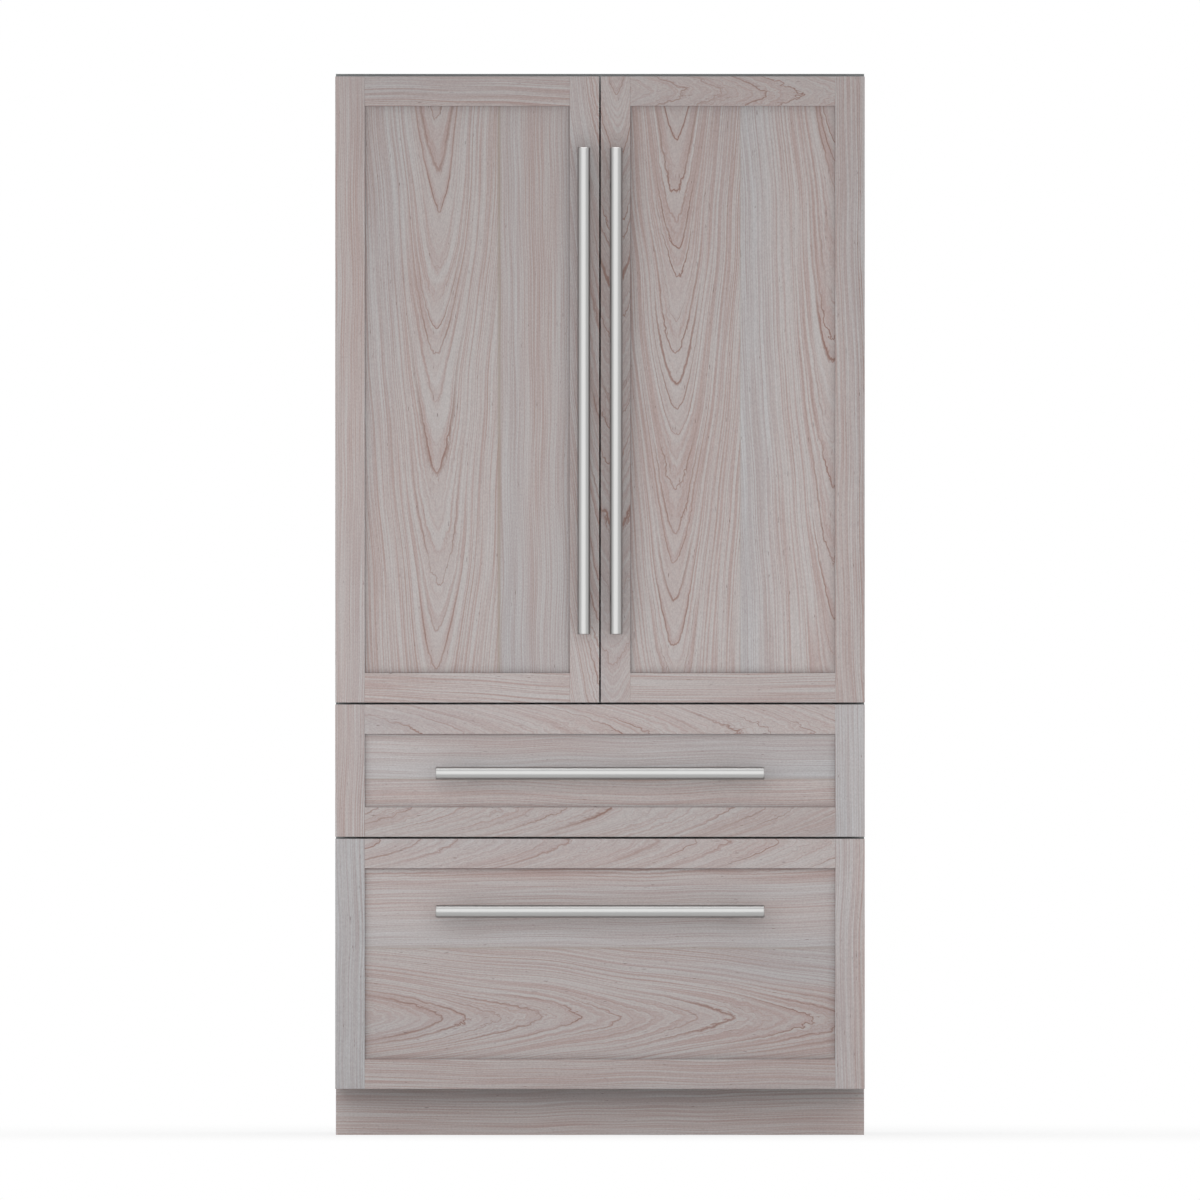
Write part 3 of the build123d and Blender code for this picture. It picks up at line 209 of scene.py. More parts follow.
class Tree:
    """Adds nodes to a shader tree in short calls; a value may be a number or another socket."""

    def __init__(self, tree):
        self.tree = tree

    def add(self, kind, **settings):
        node = self.tree.nodes.new(kind)
        for name, value in settings.items():
            setattr(node, name, value)
        return node

    def put(self, socket, value):
        if isinstance(value, bpy.types.NodeSocket):
            self.tree.links.new(value, socket)
        elif hasattr(value, "__len__") and len(value) == 3 and socket.type == "RGBA":
            socket.default_value = (*value, 1.0)
        else:
            socket.default_value = value

    def math(self, operation, a, b=0.0, clamp=False):
        node = self.add("ShaderNodeMath", operation=operation, use_clamp=clamp)
        self.put(node.inputs[0], a)
        self.put(node.inputs[1], b)
        return node.outputs[0]

    def plus(self, a, b):
        return self.math("ADD", a, b)

    def minus(self, a, b):
        return self.math("SUBTRACT", a, b)

    def times(self, a, b):
        return self.math("MULTIPLY", a, b)

    def over(self, a, b):
        return self.math("DIVIDE", a, b)

    def size(self, a):
        return self.math("ABSOLUTE", a)

    def long_side(self, a, b):
        """The longest side of a right-angled triangle."""
        return self.math("SQRT", self.plus(self.times(a, a), self.times(b, b)))

    def vector(self, x=0.0, y=0.0, z=0.0):
        node = self.add("ShaderNodeCombineXYZ")
        for socket, value in zip(node.inputs, (x, y, z)):
            self.put(socket, value)
        return node.outputs[0]

    def parts(self, vector):
        node = self.add("ShaderNodeSeparateXYZ")
        self.put(node.inputs[0], vector)
        return node.outputs

    def scaled(self, vector, scale):
        node = self.add("ShaderNodeVectorMath", operation="MULTIPLY")
        self.put(node.inputs[0], vector)
        self.put(node.inputs[1], scale)
        return node.outputs[0]

    def noise(self, vector, scale=1.0, detail=2.0):
        node = self.add("ShaderNodeTexNoise")
        self.put(node.inputs["Vector"], vector)
        self.put(node.inputs["Scale"], scale)
        self.put(node.inputs["Detail"], detail)
        return node.outputs[0]

    def board_noise(self, kind, along, across, seed):
        """Noise over a board, at the rates and with the detail of its kind."""
        x = self.times(along, kind.along)
        y = self.times(across, kind.across)
        return self.noise(self.vector(x, y, seed), detail=kind.detail)

    def white_noise(self, x, y):
        node = self.add("ShaderNodeTexWhiteNoise", noise_dimensions="2D")
        self.put(node.inputs["Vector"], self.vector(x, y))
        return node.outputs["Value"]

    def cells(self, scale):
        node = self.add("ShaderNodeTexVoronoi")
        self.put(node.inputs["Vector"], self.place())
        self.put(node.inputs["Scale"], scale)
        return node.outputs

    def fit(self, value, low, high, to_low=0.0, to_high=1.0, smooth=False):
        """Maps the range from low to high onto another, and holds its ends beyond."""
        kind = "SMOOTHSTEP" if smooth else "LINEAR"
        node = self.add("ShaderNodeMapRange", interpolation_type=kind)
        for socket, number in zip(node.inputs[:5], (value, low, high, to_low, to_high)):
            self.put(socket, number)
        return node.outputs[0]

    def mix(self, factor, a, b):
        node = self.add("ShaderNodeMix", data_type="RGBA")
        self.put(node.inputs[0], factor)
        self.put(node.inputs[6], a)
        self.put(node.inputs[7], b)
        return node.outputs[2]

    def place(self):
        return self.add("ShaderNodeTexCoord").outputs["Object"]

    def bump(self, height, strength, distance):
        node = self.add("ShaderNodeBump")
        self.put(node.inputs["Strength"], strength)
        self.put(node.inputs["Distance"], distance)
        self.put(node.inputs["Height"], height)
        return node.outputs[0]


def new_material(name, settings):
    """A material with a principled shader, whose plain numbers are set on its own sockets."""
    material = bpy.data.materials.new(name)
    material.use_nodes = True
    material.node_tree.nodes.clear()
    tree = Tree(material.node_tree)
    shader = tree.add("ShaderNodeBsdfPrincipled")
    output = tree.add("ShaderNodeOutputMaterial")
    tree.put(output.inputs["Surface"], shader.outputs[0])
    for socket, value in settings.items():
        tree.put(shader.inputs[socket], value)
    return material, tree, shader


# Timber


class Plank(NamedTuple):
    """How one plank was sawn: all lengths in millimetres, from the board's own centre."""

    seed: float
    pith: float = 0.0
    depth: float = 60.0
    slope: float = -0.08
    taper: float = -0.02
    pitch: float = 8.5
    cool: float = 0.0
    figure: float = 1.0
    tone: float = 1.0


class Joint(NamedTuple):
    """The glue joint of two planks: where it lies across the board, and its dark line."""

    across: float
    width: float
    strength: float


def add_rings(tree, plank, along, across, inward):
    """Where each point lies among the growth rings.

    Gives how far it lies sideways from the pith line, how much growth lies between them, and how
    steeply the rings cross the face: 1 where they stand square to it, near 0 where they lie flat.
    """
    sway = tree.vector(tree.times(along, pith_sway_rate), plank.seed)
    sway = tree.noise(sway, detail=1.0)
    offset = tree.minus(across, plank.pith)
    offset = tree.plus(offset, tree.fit(sway, 0, 1, -pith_sway, pith_sway))
    heave = tree.vector(tree.times(along, pith_heave_rate), 3.0, plank.seed)
    heave = tree.noise(heave, detail=1.0)
    depth = tree.plus(tree.plus(plank.depth, tree.times(along, plank.slope)), inward)
    depth = tree.plus(depth, tree.fit(heave, 0, 1, -pith_heave, pith_heave))
    radius = tree.long_side(offset, depth)
    blunt = tree.math("SQRT", tree.plus(tree.times(offset, offset), blunt_square))
    point = tree.times(plank.pitch, ring_point)

    # Jagged shoulders, in patches near the pith
    patches = tree.board_noise(jag_patches, along, across, plank.seed)
    near_pith = tree.fit(tree.size(offset), jag_near, jag_far, 1.0, 0.25, smooth=True)
    jagged = tree.times(near_pith, tree.fit(patches, 0.38, 0.6, 0.3, 1.0))
    jagged = tree.times(jagged, plank.pitch)

    def jag_at(along, across):
        jag = tree.board_noise(jags, along, across, plank.seed)
        return tree.times(tree.fit(jag, 0, 1, -ring_jag, ring_jag), jagged)

    jag = jag_at(along, across)
    jag_along = tree.minus(jag_at(tree.plus(along, jag_step), across), jag)
    jag_across = tree.minus(jag_at(along, tree.plus(across, jag_step)), jag)

    growth = tree.plus(tree.plus(radius, tree.times(blunt, point)), jag)
    growth = tree.plus(growth, tree.times(along, plank.taper))
    sideways = tree.plus(tree.over(offset, radius), tree.times(tree.over(offset, blunt), point))
    sideways = tree.plus(sideways, tree.times(jag_across, 1 / jag_step))
    endways = tree.plus(tree.times(plank.slope, tree.over(depth, radius)), plank.taper)
    endways = tree.plus(endways, tree.times(jag_along, 1 / jag_step))
    steepness = tree.math("MAXIMUM", tree.long_side(sideways, endways), least_steepness)
    return offset, growth, steepness


def add_ring_lines(tree, plank, along, offset, growth, steepness):
    """The dark line at the end of each ring, as wide all along, and the blush before it.

    Some rings end boldly and some faintly, and all are boldest where they lie flat.
    """
    rings = tree.over(growth, plank.pitch)
    uneven = tree.vector(tree.times(rings, ring_uneven_rate), plank.seed)
    uneven = tree.noise(uneven, detail=1.0)
    rings = tree.plus(rings, tree.fit(uneven, 0, 1, -ring_uneven, ring_uneven))
    phase = tree.math("FRACT", rings)
    width = tree.over(plank.pitch, steepness)
    after = tree.times(phase, width)
    before = tree.times(tree.minus(1.0, phase), width)

    def boldness(ring):
        return tree.fit(tree.white_noise(ring, plank.seed), 0.1, 0.7, 0.12, 1.0)

    ring = tree.math("FLOOR", rings)
    bold_after = boldness(ring)
    bold_before = boldness(tree.plus(ring, 1.0))
    core = tree.math(
        "MAXIMUM",
        tree.times(tree.fit(after, 0, line_after, 1, 0, smooth=True), bold_after),
        tree.times(tree.fit(before, 0, line_before, 1, 0, smooth=True), bold_before),
    )
    reach = tree.fit(tree.size(offset), bold_near, bold_far, 1.0, faint_line, smooth=True)
    patchy = tree.board_noise(line_patches, along, growth, plank.seed)
    reach = tree.times(tree.times(reach, tree.fit(patchy, 0.32, 0.58, 0.45, 1.0)), plank.figure)
    blush = tree.times(tree.fit(before, 0, blush_before, 1, 0, smooth=True), bold_before)
    return tree.times(core, reach), tree.times(blush, reach)


def add_warmth(tree, plank, along, across, growth, steepness, blush):
    """How warm the wood is, from 0 to 1: streaks along the rings, over the board's broad tone."""
    thin = tree.board_noise(thin_streaks, along, growth, plank.seed)
    fine = tree.board_noise(fine_streaks, along, growth, plank.seed)
    wide = tree.board_noise(wide_streaks, along, growth, plank.seed)
    broad = tree.board_noise(broad_tone, along, across, plank.seed)
    streaks = tree.plus(
        tree.fit(thin, 0.36, 0.64, -thin_streak, thin_streak),
        tree.fit(fine, 0.32, 0.68, -fine_streak, fine_streak),
    )
    streaks = tree.times(streaks, tree.fit(steepness, 0.08, 0.5, 0.2, 1.0))
    streaks = tree.times(streaks, tree.fit(plank.pitch, 5.0, 20.0, 1.0, 0.5))
    warmth = tree.plus(streaks, tree.fit(wide, 0.3, 0.7, -wide_streak, wide_streak))
    warmth = tree.plus(warmth, tree.times(blush, blush_warmth))
    return tree.math("ADD", warmth, tree.fit(broad, 0.3, 0.7, 0.28, 0.66), clamp=True)


def make_grain_group():
    """Colour and height of flat-sawn timber, at a place along, across and into the board.

    Places are in millimetres. Growth rings are tubes round the pith line, which the face cuts at
    a depth that changes along the board, so that rings come out as nested arches where the pith
    lies and as lines beside it.
    """
    group = bpy.data.node_groups.new("board_grain", "ShaderNodeTree")
    sockets = group.interface
    sockets.new_socket("Place", in_out="INPUT", socket_type="NodeSocketVector")
    for field in Plank._fields:
        sockets.new_socket(field.capitalize(), in_out="INPUT", socket_type="NodeSocketFloat")
    sockets.new_socket("Color", in_out="OUTPUT", socket_type="NodeSocketColor")
    sockets.new_socket("Height", in_out="OUTPUT", socket_type="NodeSocketFloat")

    tree = Tree(group)
    given = tree.add("NodeGroupInput").outputs
    plank = Plank(*(given[field.capitalize()] for field in Plank._fields))
    along, across, inward = tree.parts(given["Place"])
    offset, growth, steepness = add_rings(tree, plank, along, across, inward)
    line, blush = add_ring_lines(tree, plank, along, offset, growth, steepness)
    warmth = add_warmth(tree, plank, along, across, growth, steepness, blush)
    chill = tree.board_noise(cool_patches, along, across, plank.seed)
    chill = tree.math("ADD", plank.cool, tree.fit(chill, 0.5, 0.7, 0, 0.55), clamp=True)
    fleck = tree.fit(tree.board_noise(flecks, along, across, plank.seed), 0.74, 0.79)
    speckle = tree.board_noise(speckles, along, across, plank.seed)

    warm_side = tree.mix(warmth, pale_wood, warm_wood)
    cool_side = tree.mix(warmth, pale_cool_wood, cool_wood)
    color = tree.mix(chill, warm_side, cool_side)
    color = tree.mix(line, color, line_wood)
    color = tree.mix(tree.times(fleck, fleck_strength), color, fleck_wood)
    tone = tree.fit(speckle, 0.2, 0.8, 1 + speckle_sway, 1 - speckle_sway)
    tone = tree.times(plank.tone, tone)
    color = tree.scaled(color, tree.vector(tone, tone, tone))
    sunk = tree.plus(tree.times(line, line_sink), tree.times(fleck, fleck_sink))
    height = tree.plus(tree.times(speckle, speckle_rise), sunk)

    result = tree.add("NodeGroupOutput")
    tree.put(result.inputs["Color"], color)
    tree.put(result.inputs["Height"], height)
    return group


grain_group = make_grain_group()


def make_timber(name, centre, upright, planks, joint=None, opening=None, length=None):
    """One board's material: a plank, or two planks glued edge to edge.

    An opening is the half width and half height, in millimetres, of the frame that the board lies
    in: beside it the wood is darkened as painted shade, a thin line and a fade, where the recess
    would shade it. A length is half of a board whose ends meet others: each end has a thin dark
    line.
    """
    material, tree, shader = new_material(name, {"Roughness": 0.6, "Specular IOR Level": 0.25})
    x, y, z = tree.parts(tree.place())
    x = tree.times(tree.minus(x, centre.x), 1000)
    y = tree.times(tree.minus(y, face_y), 1000)
    z = tree.times(tree.minus(z, centre.z), 1000)
    along, across = (z, x) if upright else (x, z)
    grain = tree.add("ShaderNodeGroup")
    grain.node_tree = grain_group
    tree.put(grain.inputs["Place"], tree.vector(along, across, y))
    settings = planks[0]._asdict()
    if joint:
        beyond = tree.math("GREATER_THAN", across, joint.across)
        for field, value in settings.items():
            settings[field] = tree.fit(beyond, 0, 1, value, getattr(planks[1], field))
        near = tree.fit(across, joint.across, joint.across + cool_reach, 1, 0, smooth=True)
        settings["cool"] = tree.times(settings["cool"], tree.times(near, beyond))
    for field, value in settings.items():
        tree.put(grain.inputs[field.capitalize()], value)
    color = grain.outputs["Color"]
    if joint:
        away = tree.size(tree.minus(across, joint.across))
        seam = tree.fit(away, 0, joint.width, joint.strength, 0, smooth=True)
        color = tree.mix(seam, color, seam_wood)
    # Painted shade: darkens the wood beside the frame, as a line and a fade, where the recess
    # would shade it
    if opening:
        gap_x = tree.minus(opening[0], tree.size(x))
        gap_z = tree.minus(opening[1], tree.size(z))
        gap = tree.math("MINIMUM", gap_x, gap_z)
        painted_shade_line = tree.fit(gap, 0, painted_shade_line_width, painted_shade_line_strength, 0)
        shade = tree.fit(gap, 0, painted_shade_width, painted_shade_strength, 0, smooth=True)
        color = tree.mix(tree.plus(painted_shade_line, shade), color, painted_shade_wood)
    if length:
        left = tree.minus(length, tree.size(along))
        end_line = tree.fit(left, 0, end_line_width, end_line_strength, 0, smooth=True)
        color = tree.mix(end_line, color, end_wood)
    tree.put(shader.inputs["Base Color"], color)
    relief = tree.bump(grain.outputs["Height"], strength=0.25, distance=0.0004)
    tree.put(shader.inputs["Normal"], relief)
    return material


# Metals, plastics and glass


class Coat(NamedTuple):
    """Paint or moulded plastic: its two shades, roughness and how far that varies, and relief."""

    light: tuple
    dark: tuple
    rough: float
    vary: float = 0.05
    bump: float = 0.08
    gloss: float = 0.5


class Brushing(NamedTuple):
    """Bare metal with fine lines along one axis."""

    light: tuple
    dark: tuple
    rough: float
    axis: str


coats = {
    "case_paint": Coat((0.33, 0.345, 0.345), (0.29, 0.305, 0.305), 0.45),
    "front_paint": Coat((0.03, 0.03, 0.031), (0.022, 0.022, 0.023), 0.55, gloss=0.1),
    "liner_white": Coat((0.80, 0.81, 0.82), (0.785, 0.795, 0.805), 0.3, vary=0.01, bump=0.05),
    "seal": Coat((0.02, 0.02, 0.021), (0.014, 0.014, 0.015), 0.75, gloss=0.1),
    "hinge_steel": Coat((0.06, 0.06, 0.063), (0.045, 0.045, 0.047), 0.4),
    "compressor_black": Coat((0.015, 0.015, 0.016), (0.022, 0.022, 0.023), 0.35),
    "fan_plastic": Coat((0.035, 0.035, 0.037), (0.028, 0.028, 0.03), 0.5),
    "cover_plastic": Coat((0.66, 0.675, 0.69), (0.62, 0.635, 0.65), 0.42),
    "shelf_metal": Coat((0.7, 0.71, 0.72), (0.66, 0.67, 0.68), 0.4),
    "foot_plastic": Coat((0.02, 0.02, 0.02), (0.028, 0.028, 0.028), 0.6),
    "lens_milky": Coat((0.86, 0.87, 0.86), (0.83, 0.84, 0.83), 0.22, vary=0.02, bump=0.02),
    "window_dark": Coat((0.012, 0.012, 0.014), (0.018, 0.018, 0.02), 0.12, bump=0.0),
}
brushings = {
    "pin_steel": Brushing((0.6, 0.6, 0.6), (0.48, 0.48, 0.48), 0.3, "Z"),
    "runner_steel": Brushing((0.62, 0.63, 0.64), (0.5, 0.51, 0.52), 0.35, "Y"),
    "fin_metal": Brushing((0.72, 0.73, 0.74), (0.6, 0.61, 0.62), 0.35, "Z"),
    "rail_satin": Brushing((0.66, 0.67, 0.68), (0.56, 0.57, 0.58), 0.3, "X"),
}


def make_coated(name, coat):
    """A coat with faint broad mottling and a fine orange peel."""
    material, tree, shader = new_material(name, {"Specular IOR Level": coat.gloss})
    place = tree.place()
    broad = tree.noise(place, scale=7.0, detail=3.0)
    fine = tree.noise(place, scale=900.0, detail=2.0)
    factor = tree.plus(tree.times(broad, 0.65), tree.times(fine, 0.35))
    tree.put(shader.inputs["Base Color"], tree.mix(factor, coat.light, coat.dark))
    rough = tree.fit(broad, 0.3, 0.7, coat.rough - coat.vary, coat.rough + coat.vary)
    tree.put(shader.inputs["Roughness"], rough)
    tree.put(shader.inputs["Normal"], tree.bump(fine, strength=coat.bump, distance=0.0004))
    return material


# Rates per metre of the brushed lines, and how far their roughness varies
brush_rate_across = 1400.0
brush_rate_along = 18.0
brush_vary = 0.08


def make_brushed(name, brushing):
    material, tree, shader = new_material(name, {"Metallic": 1.0})
    scale = [brush_rate_across] * 3
    scale["XYZ".index(brushing.axis)] = brush_rate_along
    lines = tree.noise(tree.scaled(tree.place(), scale), detail=3.0)
    tree.put(shader.inputs["Base Color"], tree.mix(lines, brushing.light, brushing.dark))
    rough = tree.fit(lines, 0.2, 0.8, brushing.rough - brush_vary, brushing.rough + brush_vary)
    tree.put(shader.inputs["Roughness"], rough)
    tree.put(shader.inputs["Normal"], tree.bump(lines, strength=0.1, distance=0.0002))
    return material


def make_bar_steel():
    """Satin steel of the bar handles."""
    settings = {"Metallic": 1.0, "Specular Tint": (0.55, 0.55, 0.55)}
    material, tree, shader = new_material("bar_steel", settings)
    fine = tree.noise(tree.scaled(tree.place(), (900, 900, 900)), detail=2.0)
    color = tree.mix(fine, (0.41, 0.41, 0.405), (0.45, 0.45, 0.445))
    tree.put(shader.inputs["Base Color"], color)
    tree.put(shader.inputs["Roughness"], tree.fit(fine, 0, 1, 0.26, 0.34))
    return material


def make_clear(name, tint, rough):
    """Clear moulded plastic or glass, with a faint haze."""
    settings = {"Transmission Weight": 1.0, "IOR": 1.49, "Alpha": clear_cover}
    material, tree, shader = new_material(name, settings)
    haze = tree.noise(tree.place(), scale=35.0, detail=4.0)
    hazy_tint = tuple(part * 0.97 for part in tint)
    tree.put(shader.inputs["Base Color"], tree.mix(haze, tint, hazy_tint))
    tree.put(shader.inputs["Roughness"], tree.fit(haze, 0.3, 0.7, rough, rough + 0.05))
    return material


def make_zinc():
    """Galvanised sheet with its dull spangle."""
    material, tree, shader = new_material("zinc", {"Metallic": 1.0})
    shade = tree.parts(tree.cells(70.0)["Color"])[0]
    fine = tree.noise(tree.place(), scale=500.0, detail=3.0)
    factor = tree.plus(tree.times(shade, 0.6), tree.times(fine, 0.4))
    color = tree.mix(factor, (0.40, 0.41, 0.42), (0.50, 0.51, 0.52))
    tree.put(shader.inputs["Base Color"], color)
    tree.put(shader.inputs["Roughness"], tree.fit(shade, 0, 1, 0.42, 0.58))
    return material


def make_foam():
    """Cut rigid foam."""
    material, tree, shader = new_material("foam", {"Roughness": 0.9})
    cell = tree.cells(700.0)["Distance"]
    broad = tree.noise(tree.place(), scale=9.0, detail=4.0)
    color = tree.mix(broad, (0.72, 0.62, 0.36), (0.62, 0.5, 0.25))
    tree.put(shader.inputs["Base Color"], color)
    tree.put(shader.inputs["Normal"], tree.bump(cell, strength=0.5, distance=0.0006))
    return material


# Painting the solids


def paint(node, *choices):
    """Gives a solid its material, or one to each face by the first test that its middle passes."""
    mesh = frame["nodes"][node].data
    mesh.materials.clear()
    for material, _ in choices:
        mesh.materials.append(material)
    if len(choices) == 1:
        return
    for polygon in mesh.polygons:
        for index, (_, test) in enumerate(choices):
            if test(polygon.center):
                polygon.material_index = index
                break


def anywhere(_):
    return True


def smooth(mesh):
    """Round faces shade smoothly and real edges stay sharp."""
    mesh.polygons.foreach_set("use_smooth", [True] * len(mesh.polygons))
    mesh.set_sharp_from_angle(angle=math.radians(sharp_angle))


def opening_of(front):
    """Half the width and height of a front's frame opening, in millimetres."""
    low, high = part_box(f"{front}_stiles")
    half = (high - low) / 2 - Vector((member_width, 0, member_width))
    return half.x * 1000, half.z * 1000


door_panel_planks = {
    "left_door": (
        Plank(seed=1.3, pith=-61, depth=100, slope=-0.02, taper=-0.04, pitch=4.3),
        Plank(seed=4.1, pith=-260, depth=40, slope=0.01, taper=0.005, pitch=5.5, cool=0.3),
        Joint(across=64.0, width=6.0, strength=0.55),
    ),
    "right_door": (
        Plank(seed=2.6, pith=-113, depth=100, slope=-0.02, taper=-0.045, pitch=4.3, tone=1.03),
        Plank(
            seed=6.4, pith=204, depth=100, slope=-0.02, taper=-0.035, pitch=4.3,
            cool=0.8, tone=1.07,
        ),
        Joint(across=15.0, width=2.0, strength=0.3),
    ),
}
for door, (first, second, joint) in door_panel_planks.items():
    low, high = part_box(f"{door}_centre_panel")
    middle = (low + high) / 2
    panel = make_timber(
        f"{door}_panel_timber", middle, True, (first, second), joint, opening_of(door)
    )
    paint(f"{door}_centre_panel", (panel, anywhere))

drawer_panel_planks = {
    "middle_drawer": (
        Plank(seed=7.7, pith=-180, depth=30, slope=0.006, taper=0.002, pitch=4.6, tone=1.06),
        Plank(
            seed=9.1, pith=190, depth=30, slope=0.006, taper=0.003, pitch=4.6,
            cool=0.75, figure=0.8, tone=1.09,
        ),
        Joint(across=-17.0, width=5.0, strength=0.35),
    ),
    "lower_drawer": (
        Plank(seed=8.8, pith=-110, depth=95, slope=0.03, taper=0.075, pitch=7.8),
        Plank(
            seed=9.9, pith=210, depth=30, slope=0.006, taper=0.003, pitch=4.6,
            cool=0.6, figure=0.6, tone=1.07,
        ),
        Joint(across=32.0, width=6.0, strength=0.35),
    ),
}
for drawer, (first, second, joint) in drawer_panel_planks.items():
    low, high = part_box(f"{drawer}_centre_panel")
    middle = (low + high) / 2
    panel = make_timber(
        f"{drawer}_panel_timber", middle, False, (first, second), joint, opening_of(drawer)
    )
    paint(f"{drawer}_centre_panel", (panel, anywhere))

# Each frame's left stile, its right one, its upper rail and its lower rail
frame_planks = {
    "left_door": (
        Plank(seed=11.1, pith=70, depth=30, slope=0.006, taper=0.004, pitch=4.4, tone=1.05),
        Plank(seed=12.2, pith=48, depth=70, slope=-0.03, taper=-0.09, pitch=9.0, tone=1.03),
        Plank(seed=13.3, pith=-70, depth=30, slope=0.01, taper=0.02, pitch=4.4),
        Plank(seed=14.4, pith=-90, depth=60, slope=0.02, taper=0.03, pitch=5.0, tone=1.03),
    ),
    "right_door": (
        Plank(seed=15.5, pith=0, depth=70, slope=-0.08, taper=-0.2, pitch=19.0),
        Plank(seed=16.6, pith=60, depth=35, slope=-0.01, taper=-0.012, pitch=4.4, tone=1.04),
        Plank(seed=17.7, pith=-5, depth=75, slope=0.1, taper=0.19, pitch=24.0),
        Plank(seed=18.8, pith=80, depth=60, slope=0.01, taper=-0.01, pitch=4.6, tone=1.02),
    ),
    "middle_drawer": (
        Plank(
            seed=21.1, pith=70, depth=30, slope=0.006, taper=0.004, pitch=4.4,
            cool=0.1, tone=1.05,
        ),
        Plank(
            seed=22.2, pith=-70, depth=30, slope=0.006, taper=0.004, pitch=4.4,
            cool=0.75, tone=1.1,
        ),
        Plank(seed=23.3, pith=-34, depth=90, slope=0.1, taper=0.15, pitch=20.0, tone=1.04),
        Plank(seed=24.4, pith=33, depth=90, slope=0.1, taper=0.15, pitch=19.0, tone=0.96),
    ),
    "lower_drawer": (
        Plank(
            seed=25.5, pith=80, depth=30, slope=0.006, taper=0.004, pitch=4.4,
            cool=0.9, tone=1.02,
        ),
        Plank(seed=26.6, pith=-80, depth=30, slope=0.006, taper=0.004, pitch=4.4, tone=1.11),
        Plank(seed=27.7, pith=26, depth=90, slope=0.1, taper=0.15, pitch=20.0, tone=1.03),
        Plank(seed=28.8, pith=-130, depth=30, slope=0.006, taper=0.004, pitch=4.6),
    ),
}


def beside(centre, upright):
    """A test for faces of the frame member with this centre, not of the one across from it."""
    def test(at):
        away = at.x - centre.x if upright else at.z - centre.z
        return abs(away) < member_width * member_share
    return test


for front, planks in frame_planks.items():
    for kind, upright, pair in (("stiles", True, planks[:2]), ("rails", False, planks[2:])):
        low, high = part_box(f"{front}_{kind}")
        middle = (low + high) / 2
        inset = member_width / 2
        if upright:
            places_x = (low.x + inset, high.x - inset)
            centres = [Vector((x, middle.y, middle.z)) for x in places_x]
            length = None
        else:
            places_z = (high.z - inset, low.z + inset)
            centres = [Vector((middle.x, middle.y, z)) for z in places_z]
            length = (high.x - low.x) / 2 * 1000
        boards = [
            make_timber(
                f"{front}_{kind}_timber_{row}", centre, upright, (plank,), length=length
            )
            for row, (centre, plank) in enumerate(zip(centres, pair), start=1)
        ]
        first_test = beside(centres[0], upright)
        paint(f"{front}_{kind}", (boards[0], first_test), (boards[1], anywhere))

low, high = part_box("toe_kick")
# Painted light: the toe board's tone is raised well above the other boards' to offset the shade
# under the lowest drawer
toe_plank = Plank(seed=31.0, pith=90, depth=40, slope=0.006, taper=0.004, pitch=4.6, tone=1.22)
toe_timber = make_timber("toe_timber", (low + high) / 2, False, (toe_plank,))
paint("toe_kick", (toe_timber, anywhere))

materials = {
    "bar_steel": make_bar_steel(),
    "zinc": make_zinc(),
    "foam": make_foam(),
    "clear": make_clear("clear", tint=(0.93, 0.96, 0.97), rough=0.03),
    "shelf_glass": make_clear("shelf_glass", tint=(0.88, 0.96, 0.93), rough=0.01),
}
for name, coat in coats.items():
    materials[name] = make_coated(name, coat)
for name, brushing in brushings.items():
    materials[name] = make_brushed(name, brushing)

for entry in frame["record"]["subparts"]:
    if entry["material_slot"] in materials:
        paint(entry["node"], (materials[entry["material_slot"]], anywhere))


def in_inlet(at):
    away = at - inlet_middle
    return all(abs(away[axis]) < inlet_half[axis] for axis in range(3))


def on_pin(at):
    away = at - inlet_middle
    beside_pins = abs(away.x) < inlet_pin_half_x and abs(away.z) < inlet_pin_half_z
    return beside_pins and away.y > inlet_pin_start_y


def on_lamp(at):
    """The lamp lies behind the controls, past the middle of the case."""
    return at.y > 0.0


paint(
    "rear_panel",
    (materials["pin_steel"], on_pin),
    (materials["foot_plastic"], in_inlet),
    (materials["zinc"], anywhere),
)
paint(
    "controls_and_lamp",
    (materials["lens_milky"], on_lamp),
    (materials["cover_plastic"], anywhere),
)

for node in frame["nodes"].values():
    smooth(node.data)

# Small pieces that the solids leave out


def make_piece(name, build, material, body):
    """A piece made in mesh code, which moves with its body."""
    shape = bmesh.new()
    build(shape)
    bmesh.ops.recalc_face_normals(shape, faces=shape.faces)
    mesh = bpy.data.meshes.new(name)
    shape.to_mesh(mesh)
    shape.free()
    mesh.materials.append(materials[material])
    smooth(mesh)
    piece = bpy.data.objects.new(name, mesh)
    bpy.context.scene.collection.objects.link(piece)
    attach(piece, body)


def add_loops(shape, loops):
    """Skins over a row of loops of points, with a face over each end."""
    made = [[shape.verts.new(point) for point in loop] for loop in loops]
    for lower, upper in zip(made, made[1:]):
        for step in range(len(lower)):
            following = (step + 1) % len(lower)
            shape.faces.new((lower[step], lower[following], upper[following], upper[step]))
    shape.faces.new(made[0])
    shape.faces.new(made[-1])


def add_head(shape, at, rings, socket, sides=24):
    """A round head that faces the front, and is hexagonal from its socket's ring on, if any."""
    right = forward.orthogonal().normalized()
    up = forward.cross(right)
    loops = []
    for row, (height, radius) in enumerate(rings):
        loop = []
        for step in range(sides):
            angle = 2 * math.pi * step / sides
            reach = radius / 1000
            if socket is not None and row >= socket:
                reach *= math.cos(math.pi / 6) / math.cos(angle % (math.pi / 3) - math.pi / 6)
            outward = right * math.cos(angle) + up * math.sin(angle)
            loop.append(at + forward * height / 1000 + outward * reach)
        loops.append(loop)
    add_loops(shape, loops)


def make_heads(name, places, rings, socket, slot):
    """The same head at each of some places on the case."""
    def build(shape):
        for place in places:
            add_head(shape, Vector(place), rings, socket)

    make_piece(name, build, slot, "cabinet")


